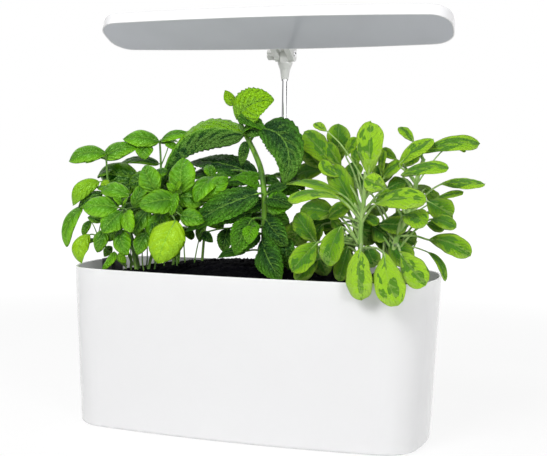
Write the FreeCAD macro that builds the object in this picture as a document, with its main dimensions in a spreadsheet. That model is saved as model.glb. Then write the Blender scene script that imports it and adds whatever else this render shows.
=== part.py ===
import FreeCAD, Part
import math
import os
import re
from collections import namedtuple

import Sketcher

Vector = FreeCAD.Vector
Rotation = FreeCAD.Rotation
Placement = FreeCAD.Placement

# Driving dimensions in millimetres and degrees. Every alias is made of words joined by underscores.
SIZES = {
    "tub_length": 400.0,
    "tub_depth": 180.0,
    "tub_height": 172.0,
    "tub_side_radius": 1344.0,
    "tub_end_radius": 177.0,
    "tub_corner_radius": 47.0,
    "tub_draft": 2.6,
    "tub_wall": 2.5,
    "tub_floor": 3.0,
    "base_edge_radius": 4.0,
    "rim_edge_radius": 0.8,
    "tray_gap": 0.5,
    "tray_wall": 1.6,
    "tray_floor_height": 100.0,
    "tray_rim_height": 158.0,
    "cup_spacing": 80.0,
    "cup_radius": 28.0,
    "cup_slot_width": 3.0,
    "cup_slot_height": 60.0,
    "soil_gap": 0.2,
    "mound_top_height": 179.0,
    "mound_long_radius": 722.0,
    "mound_cross_radius": 170.0,
    "column_offset": 173.0,
    "column_width": 16.0,
    "column_bore_radius": 6.0,
    "column_bore_spacing": 17.0,
    "column_top_height": 176.0,
    "column_foot_height": 15.0,
    "column_floor": 2.0,
    "column_drain_radius": 2.0,
    "column_flange_width": 3.0,
    "column_flange_thickness": 2.0,
    "column_clearance": 0.2,
    "float_clearance": 0.5,
    "float_height": 30.0,
    "float_rod_radius": 0.9,
    "float_rod_show": 0.6,
    "float_stop_radius": 2.5,
    "float_stop_height": 2.0,
    "float_travel": 40.0,
    "float_guide_height": 2.5,
    "guide_clearance": 0.1,
    "pump_offset": 152.0,
    "pump_length": 30.0,
    "pump_depth": 34.0,
    "pump_height": 24.0,
    "pump_corner_radius": 3.0,
    "pump_foot_radius": 3.0,
    "pump_foot_height": 2.0,
    "pump_foot_inset": 5.0,
    "chamber_radius": 9.0,
    "chamber_depth": 8.0,
    "rotor_radius": 5.0,
    "rotor_length": 12.0,
    "rotor_clearance": 0.5,
    "impeller_radius": 8.0,
    "impeller_disc": 1.5,
    "blade_height": 4.0,
    "blade_thickness": 1.2,
    "blade_count": 6,
    "pump_shaft_radius": 1.0,
    "pump_shaft_seat": 4.0,
    "bearing_clearance": 0.05,
    "pump_cover_thickness": 2.0,
    "pump_cover_radius": 11.0,
    "inlet_slot_width": 2.0,
    "inlet_slot_length": 12.0,
    "nozzle_radius": 3.5,
    "nozzle_bore_radius": 2.2,
    "nozzle_height": 8.0,
    "hose_wall": 1.5,
    "mast_offset": 98.4,
    "socket_width": 34.0,
    "socket_back": 11.6,
    "socket_foot_height": 95.0,
    "socket_saddle": 4.0,
    "socket_jaw_height": 12.0,
    "socket_jaw_depth": 4.5,
    "socket_edge_radius": 5.0,
    "post_top_height": 220.0,
    "post_top_radius": 6.0,
    "post_foot_radius": 9.2,
    "post_lip_height": 2.0,
    "socket_screw_radius": 1.75,
    "socket_screw_head_radius": 3.4,
    "socket_screw_head_height": 2.0,
    "socket_screw_spacing": 22.0,
    "socket_screw_drop": 6.0,
    "inlet_height": 108.0,
    "inlet_radius": 5.0,
    "inlet_depth": 14.0,
    "inlet_flange_radius": 6.5,
    "inlet_flange_thickness": 1.0,
    "inlet_bore_radius": 2.75,
    "inlet_bore_depth": 9.5,
    "inlet_pin_radius": 1.0,
    "inlet_pin_length": 8.5,
    "lower_tube_radius": 4.0,
    "lower_tube_wall": 0.7,
    "lower_tube_foot_height": 125.0,
    "lower_tube_top_height": 338.8,
    "upper_tube_radius": 3.0,
    "upper_tube_wall": 0.6,
    "upper_tube_foot_height": 230.0,
    "upper_tube_top_height": 400.0,
    "slide_clearance": 0.05,
    "top_bush_length": 12.0,
    "foot_bush_length": 8.0,
    "collar_radius": 3.9,
    "collar_foot_height": 384.4,
    "collar_thickness": 1.8,
    "neck_foot_height": 386.3,
    "neck_foot_radius": 4.2,
    "neck_waist_height": 397.5,
    "neck_waist_radius": 5.9,
    "neck_shoulder_height": 404.6,
    "neck_shoulder_radius": 8.7,
    "neck_top_height": 406.6,
    "pivot_height": 416.1,
    "tongue_width": 9.2,
    "tongue_radius": 7.0,
    "ear_clearance": 0.3,
    "ear_thickness": 6.6,
    "ear_radius": 9.0,
    "arm_height": 12.0,
    "arm_rise": 4.5,
    "web_thickness": 3.0,
    "web_gap": 1.5,
    "rib_thickness": 1.6,
    "rib_length": 8.0,
    "bolt_radius": 2.0,
    "bolt_clearance": 0.08,
    "bolt_head_radius": 4.2,
    "bolt_head_height": 2.6,
    "washer_radius": 5.0,
    "washer_thickness": 0.6,
    "knob_radius": 7.0,
    "knob_length": 8.6,
    "knob_flute_radius": 2.2,
    "knob_flute_count": 6,
    "knob_collar_radius": 5.2,
    "knob_collar_length": 1.4,
    "insert_radius": 3.2,
    "insert_length": 6.0,
    "bolt_end_gap": 0.4,
    "panel_length": 404.0,
    "panel_depth": 70.0,
    "panel_height": 15.0,
    "panel_side_radius": 3600.0,
    "panel_end_radius": 197.0,
    "panel_corner_radius": 24.5,
    "panel_edge_radius": 5.0,
    "panel_wall": 2.0,
    "panel_reach": 26.5,
    "panel_drop": 9.1,
    "panel_tilt": 23.0,
    "diffuser_inset": 1.2,
    "diffuser_gap": 0.15,
    "diffuser_thickness": 2.0,
    "board_length": 372.0,
    "board_depth": 48.0,
    "board_thickness": 1.6,
    "board_height": 6.4,
    "led_length": 3.5,
    "led_width": 2.8,
    "led_height": 0.8,
    "led_row_spacing": 14.0,
    "led_spacing": 15.0,
    "led_row_count": 3,
    "led_column_count": 24,
    "board_boss_radius": 3.2,
    "board_boss_spacing": 110.0,
    "board_boss_offset": 19.0,
    "board_screw_radius": 1.1,
    "board_screw_head_radius": 2.4,
    "board_screw_head_height": 1.2,
    "board_screw_reach": 4.0,
    "arm_screw_radius": 1.25,
    "arm_screw_head_radius": 2.6,
    "arm_screw_head_height": 1.6,
    "arm_screw_reach": 8.0,
    "arm_screw_seat": 0.03,
    "button_radius": 4.6,
    "button_clearance": 0.15,
    "button_proud": 0.9,
    "button_flange_radius": 5.8,
    "button_flange_thickness": 1.4,
    "button_offset": 18.0,
    "button_travel": 0.8,
    "switch_width": 6.0,
    "switch_plunger_radius": 1.7,
    "switch_gap": 0.1,
    "driver_length": 64.0,
    "driver_depth": 20.0,
    "driver_thickness": 1.0,
    "driver_part_length": 7.0,
    "driver_part_height": 2.4,
    "leaf_thickness": 1.2,
    "leaf_arch": 0.12,
    "basil_stem_radius": 1.7,
    "basil_petiole_radius": 0.9,
    "mint_stem_radius": 4.0,
    "mint_petiole_radius": 1.3,
    "sage_stem_radius": 3.0,
    "sage_petiole_radius": 1.3,
}

doc = FreeCAD.newDocument("CountertopGarden")
sheet = doc.addObject("Spreadsheet::Sheet", "Dimensions")
for row, (alias, number) in enumerate(SIZES.items(), start=1):
    sheet.set(f"A{row}", alias)
    sheet.set(f"B{row}", str(number))
    sheet.setAlias(f"B{row}", alias)
doc.recompute()

NODES = {}


def size(alias):
    """Return a driving dimension as the sheet holds it."""
    return float(sheet.get(alias))


def formula(text):
    """Write a formula of plain aliases as an expression on the sheet."""
    return re.sub(r"\b([a-z]+_[a-z_]+)\b", r"Dimensions.\1", str(text))


def tie(item, prop, text):
    """Bind one property of an object to a formula of the driving dimensions."""
    item.setExpression(prop, formula(text))


def node(item, name):
    """Keep an object as a sub-part of the garden under its own name."""
    item.Label = name
    NODES[name] = item
    return item


AXES = {
    "x": Rotation(Vector(0, 1, 0), 90),
    "y": Rotation(Vector(1, 0, 0), -90),
    "z": Rotation(),
}


def stand(item, at, axis="z"):
    """Turn an object's own Z along an axis and tie its foot to formulas."""
    item.Placement = Placement(Vector(), AXES[axis])
    for key, text in zip("xyz", at):
        tie(item, f"Placement.Base.{key}", text)
    return item


def cylinder(name, radius, length, at=("0", "0", "0"), axis="z"):
    """Make a round bar from its foot along an axis."""
    item = doc.addObject("Part::Cylinder", name)
    tie(item, "Radius", radius)
    tie(item, "Height", length)
    return stand(item, at, axis)


def block(name, sizes, middle, low):
    """Make a box centred on a point in X and Y with its foot at a height."""
    item = doc.addObject("Part::Box", name)
    for prop, text in zip(("Length", "Width", "Height"), sizes):
        tie(item, prop, text)
    return stand(item, (f"{middle[0]} - ({sizes[0]}) / 2", f"{middle[1]} - ({sizes[1]}) / 2", low))


def cut(name, base, *tools):
    """Cut one or more tools from a base."""
    tool = tools[0] if len(tools) == 1 else join(f"{name}_tools", *tools)
    item = doc.addObject("Part::Cut", name)
    item.Base = base
    item.Tool = tool
    return item


def join(name, *parts):
    """Join solids into one object."""
    item = doc.addObject("Part::MultiFuse", name)
    item.Shapes = list(parts)
    return item


def overlap(name, *parts):
    """Keep what all the given solids share."""
    item = doc.addObject("Part::MultiCommon", name)
    item.Shapes = list(parts)
    return item


def ring(name, outer, inner, length, at, axis="z"):
    """Make a tube or washer."""
    wall = cylinder(f"{name}_outer", outer, length, at, axis)
    bore = cylinder(f"{name}_bore", inner, length, at, axis)
    return cut(name, wall, bore)


def plane(body, role):
    """Find one of a body's own origin planes by its role."""
    return next(item for item in body.Origin.OriginFeatures if item.Role == role)


def new_sketch(body, name, role="XY_Plane", offset=None):
    """Put a sketch on a body's origin plane, lifted by a formula."""
    sketch = body.newObject("Sketcher::SketchObject", name)
    sketch.AttachmentSupport = [(plane(body, role), "")]
    sketch.MapMode = "FlatFace"
    if offset is not None:
        tie(sketch, "AttachmentOffset.Base.z", offset)
    return sketch


def dimension(sketch, kind, where, value, text):
    """Add one dimension to a sketch and tie it to the sheet."""
    index = sketch.addConstraint(Sketcher.Constraint(kind, *where, value))
    name = f"d{index}"
    sketch.renameConstraint(index, name)
    tie(sketch, f"Constraints.{name}", text)


def arc_between(centre, radius, start, end):
    """Make an arc of a circle between two angles in radians."""
    circle = Part.Circle(Vector(centre[0], centre[1], 0), Vector(0, 0, 1), radius)
    return Part.ArcOfCircle(circle, start, end)


def oval_numbers(prefix, inset):
    """Work out the radii and centres of the arcs of a bowed oval."""
    length, depth = size(f"{prefix}_length"), size(f"{prefix}_depth")
    side, end, corner = (size(f"{prefix}_{place}_radius") - inset for place in ("side", "end", "corner"))
    side_centre = depth / 2 - inset - side
    end_centre = length / 2 - inset - end
    reach_side, reach_end = side - corner, end - corner
    gap = math.hypot(side_centre, end_centre)
    along = (reach_side**2 - reach_end**2 + gap**2) / (2 * gap)
    across = math.sqrt(reach_side**2 - along**2)
    ux, uy = end_centre / gap, -side_centre / gap
    corner_x = ux * along - uy * across
    corner_y = side_centre + uy * along + ux * across
    if corner_x < 0 or corner_y < 0:
        corner_x = ux * along + uy * across
        corner_y = side_centre + uy * along - ux * across
    return side, end, corner, side_centre, end_centre, (corner_x, corner_y)


def oval_sketch(body, name, prefix, inset="0", offset=None):
    """Draw an oval of bowed sides, round ends and tangent corners, fully tied to the sheet."""
    sketch = new_sketch(body, name, offset=offset)
    side, end, corner, side_y, end_x, (cx, cy) = oval_numbers(prefix, number_of(inset))
    turn = math.atan2(cy - side_y, cx)
    tail = math.atan2(cy, cx - end_x)
    quarter, half = math.pi / 2, math.pi
    arcs = (
        ((0, side_y), side, turn, half - turn),
        ((-cx, cy), corner, half - turn, half - tail),
        ((-end_x, 0), end, half - tail, half + tail),
        ((-cx, -cy), corner, half + tail, half + turn),
        ((0, -side_y), side, half + turn, 2 * half - turn),
        ((cx, -cy), corner, 2 * half - turn, 2 * half - tail),
        ((end_x, 0), end, 2 * half - tail, 2 * half + tail),
        ((cx, cy), corner, tail, turn),
    )
    for centre, radius, start, stop in arcs:
        sketch.addGeometry(arc_between(centre, radius, start, stop))
    for number in range(8):
        sketch.addConstraint(Sketcher.Constraint("Tangent", number, 2, (number + 1) % 8, 1))
    sketch.addConstraint(Sketcher.Constraint("PointOnObject", 0, 3, -2))
    sketch.addConstraint(Sketcher.Constraint("PointOnObject", 2, 3, -1))
    for first, second in ((0, 4), (2, 6)):
        sketch.addConstraint(Sketcher.Constraint("Symmetric", first, 3, second, 3, -1, 1))
        sketch.addConstraint(Sketcher.Constraint("Equal", first, second))
    for number in (3, 5, 7):
        sketch.addConstraint(Sketcher.Constraint("Equal", 1, number))
    dimension(sketch, "Radius", (0,), side, f"{prefix}_side_radius - ({inset})")
    dimension(sketch, "Radius", (2,), end, f"{prefix}_end_radius - ({inset})")
    dimension(sketch, "Radius", (1,), corner, f"{prefix}_corner_radius - ({inset})")
    dimension(sketch, "DistanceY", (0, 3, -1, 1), -side_y, f"{prefix}_side_radius - {prefix}_depth / 2")
    dimension(sketch, "DistanceX", (-1, 1, 6, 3), end_x, f"{prefix}_length / 2 - {prefix}_end_radius")
    return sketch


def circle_sketch(body, name, radius, at=("0", "0"), role="XY_Plane", offset=None):
    """Draw one circle tied to the sheet."""
    sketch = new_sketch(body, name, role, offset)
    sketch.addGeometry(Part.Circle(Vector(1, 1, 0), Vector(0, 0, 1), 1))
    dimension(sketch, "Radius", (0,), 1, radius)
    for kind, text in zip(("DistanceX", "DistanceY"), at):
        dimension(sketch, kind, (-1, 1, 0, 3), 1, text)
    return sketch


def line_sketch(body, name, corners, role="XZ_Plane"):
    """Draw a closed outline of straight lines whose corners are tied to the sheet.

    A corner is a pair of formulas with the pair of numbers that they come to.
    """
    sketch = new_sketch(body, name, role)
    count = len(corners)
    spots = [Vector(value[0], value[1], 0) for _, value in corners]
    for number in range(count):
        sketch.addGeometry(Part.LineSegment(spots[number], spots[(number + 1) % count]))
    for number in range(count):
        sketch.addConstraint(Sketcher.Constraint("Coincident", number, 2, (number + 1) % count, 1))
    for number, (texts, value) in enumerate(corners):
        for kind, text, amount, axis in zip(("DistanceX", "DistanceY"), texts, value, (-2, -1)):
            if abs(amount) < 1e-9:
                sketch.addConstraint(Sketcher.Constraint("PointOnObject", number, 1, axis))
            else:
                dimension(sketch, kind, (-1, 1, number, 1), amount, text)
    return sketch


def number_of(text):
    """Add up a formula of aliases, numbers, plus and minus signs."""
    total, sign = 0.0, 1.0
    for word in re.findall(r"[a-z_]+|[0-9.]+|[-+]", text):
        if word in "+-":
            sign = -sign if word == "-" else sign
            continue
        total += sign * (size(word) if word[0].isalpha() else float(word))
        sign = 1.0
    return total


def new_body(name):
    """Start a body of features."""
    return doc.addObject("PartDesign::Body", name)


def feature(body, kind, name, profile=None, **values):
    """Add one feature to a body."""
    item = body.newObject(f"PartDesign::{kind}", name)
    if profile is not None:
        item.Profile = profile
        profile.Visibility = False
    for prop, value in values.items():
        setattr(item, prop, value)
    body.Tip = item
    return item


def pad(body, name, profile, length, **values):
    """Add a pad whose length is tied to the sheet."""
    item = feature(body, "Pad", name, profile, **values)
    tie(item, "Length", length)
    return item


def pocket(body, name, profile, length, **values):
    """Add a pocket whose depth is tied to the sheet."""
    item = feature(body, "Pocket", name, profile, **values)
    tie(item, "Length", length)
    return item


def turned(name, corners, role="XZ_Plane"):
    """Turn an outline of radius and height formulas round the upright axis."""
    body = new_body(name)
    pairs = [((radius, height), (number_of(radius), number_of(height))) for radius, height in corners]
    sketch = line_sketch(body, f"{name}_outline", pairs, role)
    item = feature(body, "Revolution", f"{name}_turn", sketch, Angle=360.0)
    item.ReferenceAxis = (sketch, ["V_Axis"])
    return body


def round_edges(body, name, base, wanted, radius):
    """Round the edges of a feature that a test picks out."""
    doc.recompute()
    edges = [f"Edge{number}" for number, edge in enumerate(base.Shape.Edges, 1) if wanted(edge)]
    item = feature(body, "Fillet", name)
    item.Base = (base, edges)
    tie(item, "Radius", radius)
    return item


def at_height(height):
    """Make a test for edges that lie flat at a height."""
    def test(edge):
        return abs(edge.BoundBox.ZMin - height) < 1e-4 and abs(edge.BoundBox.ZMax - height) < 1e-4
    return test


def upright(edge):
    """Tell whether an edge runs straight up."""
    box = edge.BoundBox
    return box.ZLength > 1e-3 and box.XLength < 1e-6 and box.YLength < 1e-6


def tapered(name, inset="0", height="tub_height"):
    """Give a solid of the tub's own outline and draft, drawn in by an inset at its top."""
    body = new_body(name)
    rim = oval_sketch(body, f"{name}_rim", "tub", inset, height)
    base = pad(body, f"{name}_pad", rim, height, Reversed=True)
    doc.recompute()
    faces = {f"Face{number}": face.BoundBox for number, face in enumerate(base.Shape.Faces, 1)}
    sides = [face for face, box in faces.items() if box.ZLength > 1]
    top = max(faces, key=lambda face: faces[face].ZMin)
    straight = base.Shape.Volume
    draft = feature(body, "Draft", f"{name}_draft", Reversed=False)
    draft.Base = (base, sides)
    draft.NeutralPlane = (base, [top])
    tie(draft, "Angle", "tub_draft")
    doc.recompute()
    if draft.Shape.Volume > straight:
        draft.Reversed = True
    return body


def slab(name, low, high):
    """Make a wide flat block between two heights."""
    return block(name, ("2 * tub_length", "2 * tub_depth", f"({high}) - ({low})"), ("0", "0"), low)


TRAY_INSET = "tub_wall + tray_gap"
TRAY_HOLLOW = "tub_wall + tray_gap + tray_wall"
SOIL_INSET = "tub_wall + tray_gap + tray_wall + soil_gap"
BACK_FACE = "mast_offset + socket_back"
CUP_PLACES = ("-1.5 * cup_spacing", "-0.5 * cup_spacing", "0.5 * cup_spacing", "1.5 * cup_spacing")


def screw_hole_places():
    """Give the X places of the two socket screws."""
    return ("-socket_screw_spacing / 2", "socket_screw_spacing / 2")


def make_tub():
    """Mould the open tub with its rounded foot and rim and the two screw holes at the back."""
    outer = tapered("tub_form")
    round_edges(outer, "tub_foot_round", outer.Tip, at_height(0.0), "base_edge_radius")
    inner = overlap("tub_hollow", tapered("tub_inside", "tub_wall"),
                    slab("tub_water", "tub_floor", "tub_height"))
    shell = cut("tub_shell", outer, inner)
    doc.recompute()
    rim = at_height(size("tub_height"))
    radius = size("rim_edge_radius")
    rounded = doc.addObject("Part::Fillet", "tub_rim_round")
    rounded.Base = shell
    edges = enumerate(shell.Shape.Edges, 1)
    rounded.Edges = [(number, radius, radius) for number, edge in edges if rim(edge)]
    holes = [
        cylinder(f"tub_hole_{number}", "socket_screw_radius", "tub_depth",
                 (place, "0", "tub_height - socket_screw_drop"), "y")
        for number, place in enumerate(screw_hole_places())
    ]
    return node(cut("tub", rounded, *holes), "tub")


def obround(name, width, spacing, length, low):
    """Make an upright bar of two round ends on the fill column's centre."""
    bars = [
        cylinder(f"{name}_end_{number}", f"({width}) / 2", length,
                 ("-column_offset", f"{sign} * ({spacing}) / 2", low))
        for number, sign in enumerate((-1, 1))
    ]
    middle = block(f"{name}_middle", (width, spacing, length), ("-column_offset", "0"), low)
    return join(name, *bars, middle)


def make_tray():
    """Mould the planting tray with four slotted cups that stand on the tub's floor."""
    pan = overlap("tray_pan", tapered("tray_form", TRAY_INSET),
                  slab("tray_slab", "tray_floor_height", "tray_rim_height"))
    hollow = overlap("tray_hollow", tapered("tray_inside", TRAY_HOLLOW),
                     slab("tray_room", "tray_floor_height + tray_wall", "tray_rim_height + tray_wall"))
    cups, bores = [], []
    for number, place in enumerate(CUP_PLACES):
        cups.append(cylinder(f"cup_{number}", "cup_radius", "tray_floor_height + tray_wall - tub_floor",
                             (place, "0", "tub_floor")))
        bores.append(cylinder(f"cup_bore_{number}", "cup_radius - tray_wall", "tray_floor_height",
                              (place, "0", "tub_floor + tray_wall")))
        for turn in range(4):
            slot = block(f"cup_slot_{number}_{turn}",
                         ("2 * cup_radius + 2", "cup_slot_width", "cup_slot_height"),
                         ("0", "0"), "tub_floor + cup_slot_width * 4")
            spin = Rotation(Vector(0, 0, 1), 45.0 * turn + 22.5)
            half_long, half_wide = size("cup_radius") + 1, size("cup_slot_width") / 2
            slot.Placement = Placement(Vector(), spin)
            corner = spin.multVec(Vector(-half_long, -half_wide, 0))
            tie(slot, "Placement.Base.x", f"{place} + {corner.x / half_long:.6f} * (cup_radius + 1)")
            tie(slot, "Placement.Base.y", f"{corner.y / half_long:.6f} * (cup_radius + 1)")
            tie(slot, "Placement.Base.z", "tub_floor + cup_slot_width * 4")
            bores.append(slot)
    nozzle_x = "pump_offset + pump_length - chamber_depth / 2"
    nozzle = cylinder("tray_nozzle", "nozzle_radius", "nozzle_height",
                      (nozzle_x, "0", "tray_floor_height - nozzle_height"))
    nozzle_bore = cylinder("tray_nozzle_bore", "nozzle_bore_radius", "nozzle_height + tray_wall",
                           (nozzle_x, "0", "tray_floor_height - nozzle_height"))
    column_hole = obround("tray_column_hole", "column_width + 2 * column_clearance", "column_bore_spacing",
                          "tray_wall + 2", "tray_floor_height - 1")
    solid = join("tray_solid", cut("tray_shell", pan, hollow), *cups, nozzle)
    return node(cut("grow_tray", solid, *bores, nozzle_bore, column_hole), "grow_tray")


def make_soil():
    """Fill the tray with a mound of growing medium and each cup with a plug of it."""
    full = overlap("soil_fill", tapered("soil_form", SOIL_INSET, "mound_top_height"),
                   slab("soil_slab", "tray_floor_height + tray_wall", "2 * mound_top_height"))
    mound = doc.addObject("Part::Torus", "soil_mound")
    tie(mound, "Radius1", "mound_long_radius - mound_cross_radius")
    tie(mound, "Radius2", "mound_cross_radius")
    stand(mound, ("0", "0", "mound_top_height - mound_long_radius"), "y")
    heap = overlap("soil_heap", full, mound)
    room = obround("soil_column_room", "column_width + 2 * column_flange_width + 2 * column_clearance",
                   "column_bore_spacing", "tub_height", "tray_floor_height")
    node(cut("growing_medium", heap, room), "growing_medium")
    plugs = [
        cylinder(f"plug_{number}", "cup_radius - tray_wall - soil_gap", "tray_floor_height - tub_floor",
                 (place, "0", "tub_floor + tray_wall"))
        for number, place in enumerate(CUP_PLACES)
    ]
    group = doc.addObject("Part::Compound", "root_plugs")
    group.Links = plugs
    return node(group, "root_plugs")


def make_column():
    """Make the fill column, its float with a level rod and the rod's guide."""
    length = "column_top_height - column_foot_height"
    body = obround("column_body", "column_width", "column_bore_spacing", length, "column_foot_height")
    flange = obround("column_flange", "column_width + 2 * column_flange_width", "column_bore_spacing",
                     "column_flange_thickness", "tray_floor_height + tray_wall")
    front, rear = "-column_bore_spacing / 2", "column_bore_spacing / 2"
    fill = cylinder("column_fill_bore", "column_bore_radius", length,
                    ("-column_offset", front, "column_foot_height"))
    well = cylinder("column_float_bore", "column_bore_radius", length,
                    ("-column_offset", rear, "column_foot_height + column_floor"))
    drain = cylinder("column_drain", "column_drain_radius", length,
                     ("-column_offset", rear, "column_foot_height"))
    node(cut("fill_column", join("column_solid", body, flange), fill, well, drain), "fill_column")
    foot = "column_foot_height + column_floor"
    bulb = cylinder("float_bulb", "column_bore_radius - float_clearance", "float_height",
                    ("-column_offset", rear, foot))
    rod = cylinder("float_rod", "float_rod_radius", f"column_top_height + float_rod_show - ({foot})",
                   ("-column_offset", rear, foot))
    stop_foot = "column_top_height - float_guide_height - float_travel - float_stop_height"
    stop = cylinder("float_stop", "float_stop_radius", "float_stop_height",
                    ("-column_offset", rear, stop_foot))
    node(join("level_float", bulb, rod, stop), "level_float")
    guide = ring("float_guide", "column_bore_radius", "float_rod_radius + guide_clearance",
                 "float_guide_height",
                 ("-column_offset", rear, "column_top_height - float_guide_height"))
    return node(guide, "float_guide")


PUMP_FOOT = "tub_floor + pump_foot_height"
PUMP_AXIS = "tub_floor + pump_foot_height + pump_height / 2"
PUMP_FRONT = "pump_offset + pump_length"


def make_pump():
    """Make the circulation pump with its rotor, shaft, cover, suction feet and riser hose."""
    body = new_body("pump_form")
    sketch = new_sketch(body, "pump_plan")
    half_x, half_y = size("pump_length") / 2, size("pump_depth") / 2
    spots = [Vector(-half_x, -half_y), Vector(half_x, -half_y), Vector(half_x, half_y),
             Vector(-half_x, half_y)]
    for number in range(4):
        sketch.addGeometry(Part.LineSegment(spots[number], spots[(number + 1) % 4]))
    for number in range(4):
        sketch.addConstraint(Sketcher.Constraint("Coincident", number, 2, (number + 1) % 4, 1))
    for number in (0, 2):
        sketch.addConstraint(Sketcher.Constraint("Horizontal", number))
        sketch.addConstraint(Sketcher.Constraint("Vertical", number + 1))
    sketch.addConstraint(Sketcher.Constraint("Symmetric", 0, 1, 2, 1, -1, 1))
    dimension(sketch, "DistanceX", (0, 1, 0, 2), 2 * half_x, "pump_length")
    dimension(sketch, "DistanceY", (1, 1, 1, 2), 2 * half_y, "pump_depth")
    base = pad(body, "pump_pad", sketch, "pump_height")
    round_edges(body, "pump_round", base, upright, "pump_corner_radius")
    stand(body, ("pump_offset + pump_length / 2", "0", PUMP_FOOT))
    room = cylinder("pump_chamber", "chamber_radius", "chamber_depth",
                    (f"{PUMP_FRONT} - chamber_depth", "0", PUMP_AXIS), "x")
    rotor_room = cylinder("pump_rotor_room", "rotor_radius + rotor_clearance",
                          "chamber_depth + rotor_length + rotor_clearance",
                          (f"{PUMP_FRONT} - chamber_depth - rotor_length - rotor_clearance", "0",
                           PUMP_AXIS), "x")
    shaft_start = f"{PUMP_FRONT} - chamber_depth - rotor_length - rotor_clearance - pump_shaft_seat"
    shaft_seat = cylinder("pump_shaft_seat_bore", "pump_shaft_radius", "pump_length",
                          (shaft_start, "0", PUMP_AXIS), "x")
    nozzle_x = f"{PUMP_FRONT} - chamber_depth / 2"
    spout = cylinder("pump_spout", "nozzle_radius", "nozzle_height",
                     (nozzle_x, "0", "tub_floor + pump_foot_height + pump_height"))
    spout_bore = cylinder("pump_spout_bore", "nozzle_bore_radius", "pump_height / 2 + nozzle_height",
                          (nozzle_x, "0", PUMP_AXIS))
    node(cut("pump_body", join("pump_solid", body, spout), room, rotor_room, shaft_seat, spout_bore),
         "pump_body")
    shaft_length = f"{PUMP_FRONT} - ({shaft_start}) + pump_cover_thickness"
    node(cylinder("pump_shaft", "pump_shaft_radius", shaft_length, (shaft_start, "0", PUMP_AXIS), "x"),
         "pump_shaft")
    plate = cylinder("cover_plate", "pump_cover_radius", "pump_cover_thickness", (PUMP_FRONT, "0", PUMP_AXIS),
                     "x")
    slots = [
        block(f"cover_slot_{number}", ("2 * pump_cover_thickness", "inlet_slot_width", "inlet_slot_length"),
              (PUMP_FRONT, f"{number} * inlet_slot_width"), f"{PUMP_AXIS} - inlet_slot_length / 2")
        for number in (-2, 2)
    ]
    for slot in slots:
        tie(slot, "Placement.Base.x", f"{PUMP_FRONT} - pump_cover_thickness / 2")
    shaft_hole = cylinder("cover_shaft_hole", "pump_shaft_radius", "pump_cover_thickness",
                          (PUMP_FRONT, "0", PUMP_AXIS), "x")
    node(cut("pump_cover", plate, *slots, shaft_hole), "pump_cover")
    make_impeller()
    feet = []
    for across in (-1, 1):
        for along in (-1, 1):
            feet.append(cylinder(
                f"pump_foot_{across + 1}{along + 1}", "pump_foot_radius", "pump_foot_height",
                (f"pump_offset + pump_length / 2 + {across} * (pump_length / 2 - pump_foot_inset)",
                 f"{along} * (pump_depth / 2 - pump_foot_inset)", "tub_floor")))
    group = doc.addObject("Part::Compound", "pump_feet")
    group.Links = feet
    node(group, "pump_feet")
    hose_low = "tub_floor + pump_foot_height + pump_height"
    return node(ring("riser_hose", "nozzle_radius + hose_wall", "nozzle_radius",
                     f"tray_floor_height - ({hose_low})",
                     (nozzle_x, "0", hose_low)), "riser_hose")


def make_impeller():
    """Make the magnet rotor with its disc of straight blades."""
    bore = "pump_shaft_radius + bearing_clearance"
    magnet_start = f"{PUMP_FRONT} - chamber_depth - rotor_length"
    magnet = cylinder("rotor_magnet", "rotor_radius", "rotor_length + rotor_clearance",
                      (magnet_start, "0", PUMP_AXIS), "x")
    disc_start = f"{PUMP_FRONT} - chamber_depth + rotor_clearance"
    disc = cylinder("rotor_disc", "impeller_radius", "impeller_disc", (disc_start, "0", PUMP_AXIS), "x")
    blades = []
    for number in range(int(size("blade_count"))):
        turn = 360.0 / size("blade_count") * number
        blade = doc.addObject("Part::Box", f"rotor_blade_{number}")
        tie(blade, "Length", "impeller_disc + blade_height")
        tie(blade, "Width", "blade_thickness")
        tie(blade, "Height", "impeller_radius - blade_thickness")
        spin = Rotation(Vector(1, 0, 0), turn)
        blade.Placement = Placement(Vector(), spin)
        side = spin.multVec(Vector(0, -0.5, 0))
        tie(blade, "Placement.Base.x", disc_start)
        tie(blade, "Placement.Base.y", f"{side.y:.6f} * blade_thickness")
        tie(blade, "Placement.Base.z", f"{PUMP_AXIS} + {side.z:.6f} * blade_thickness")
        blades.append(blade)
    hole = cylinder("rotor_bore", bore, "pump_length", (magnet_start, "0", PUMP_AXIS), "x")
    return node(cut("impeller", join("rotor_solid", magnet, disc, *blades), hole), "impeller")


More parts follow.
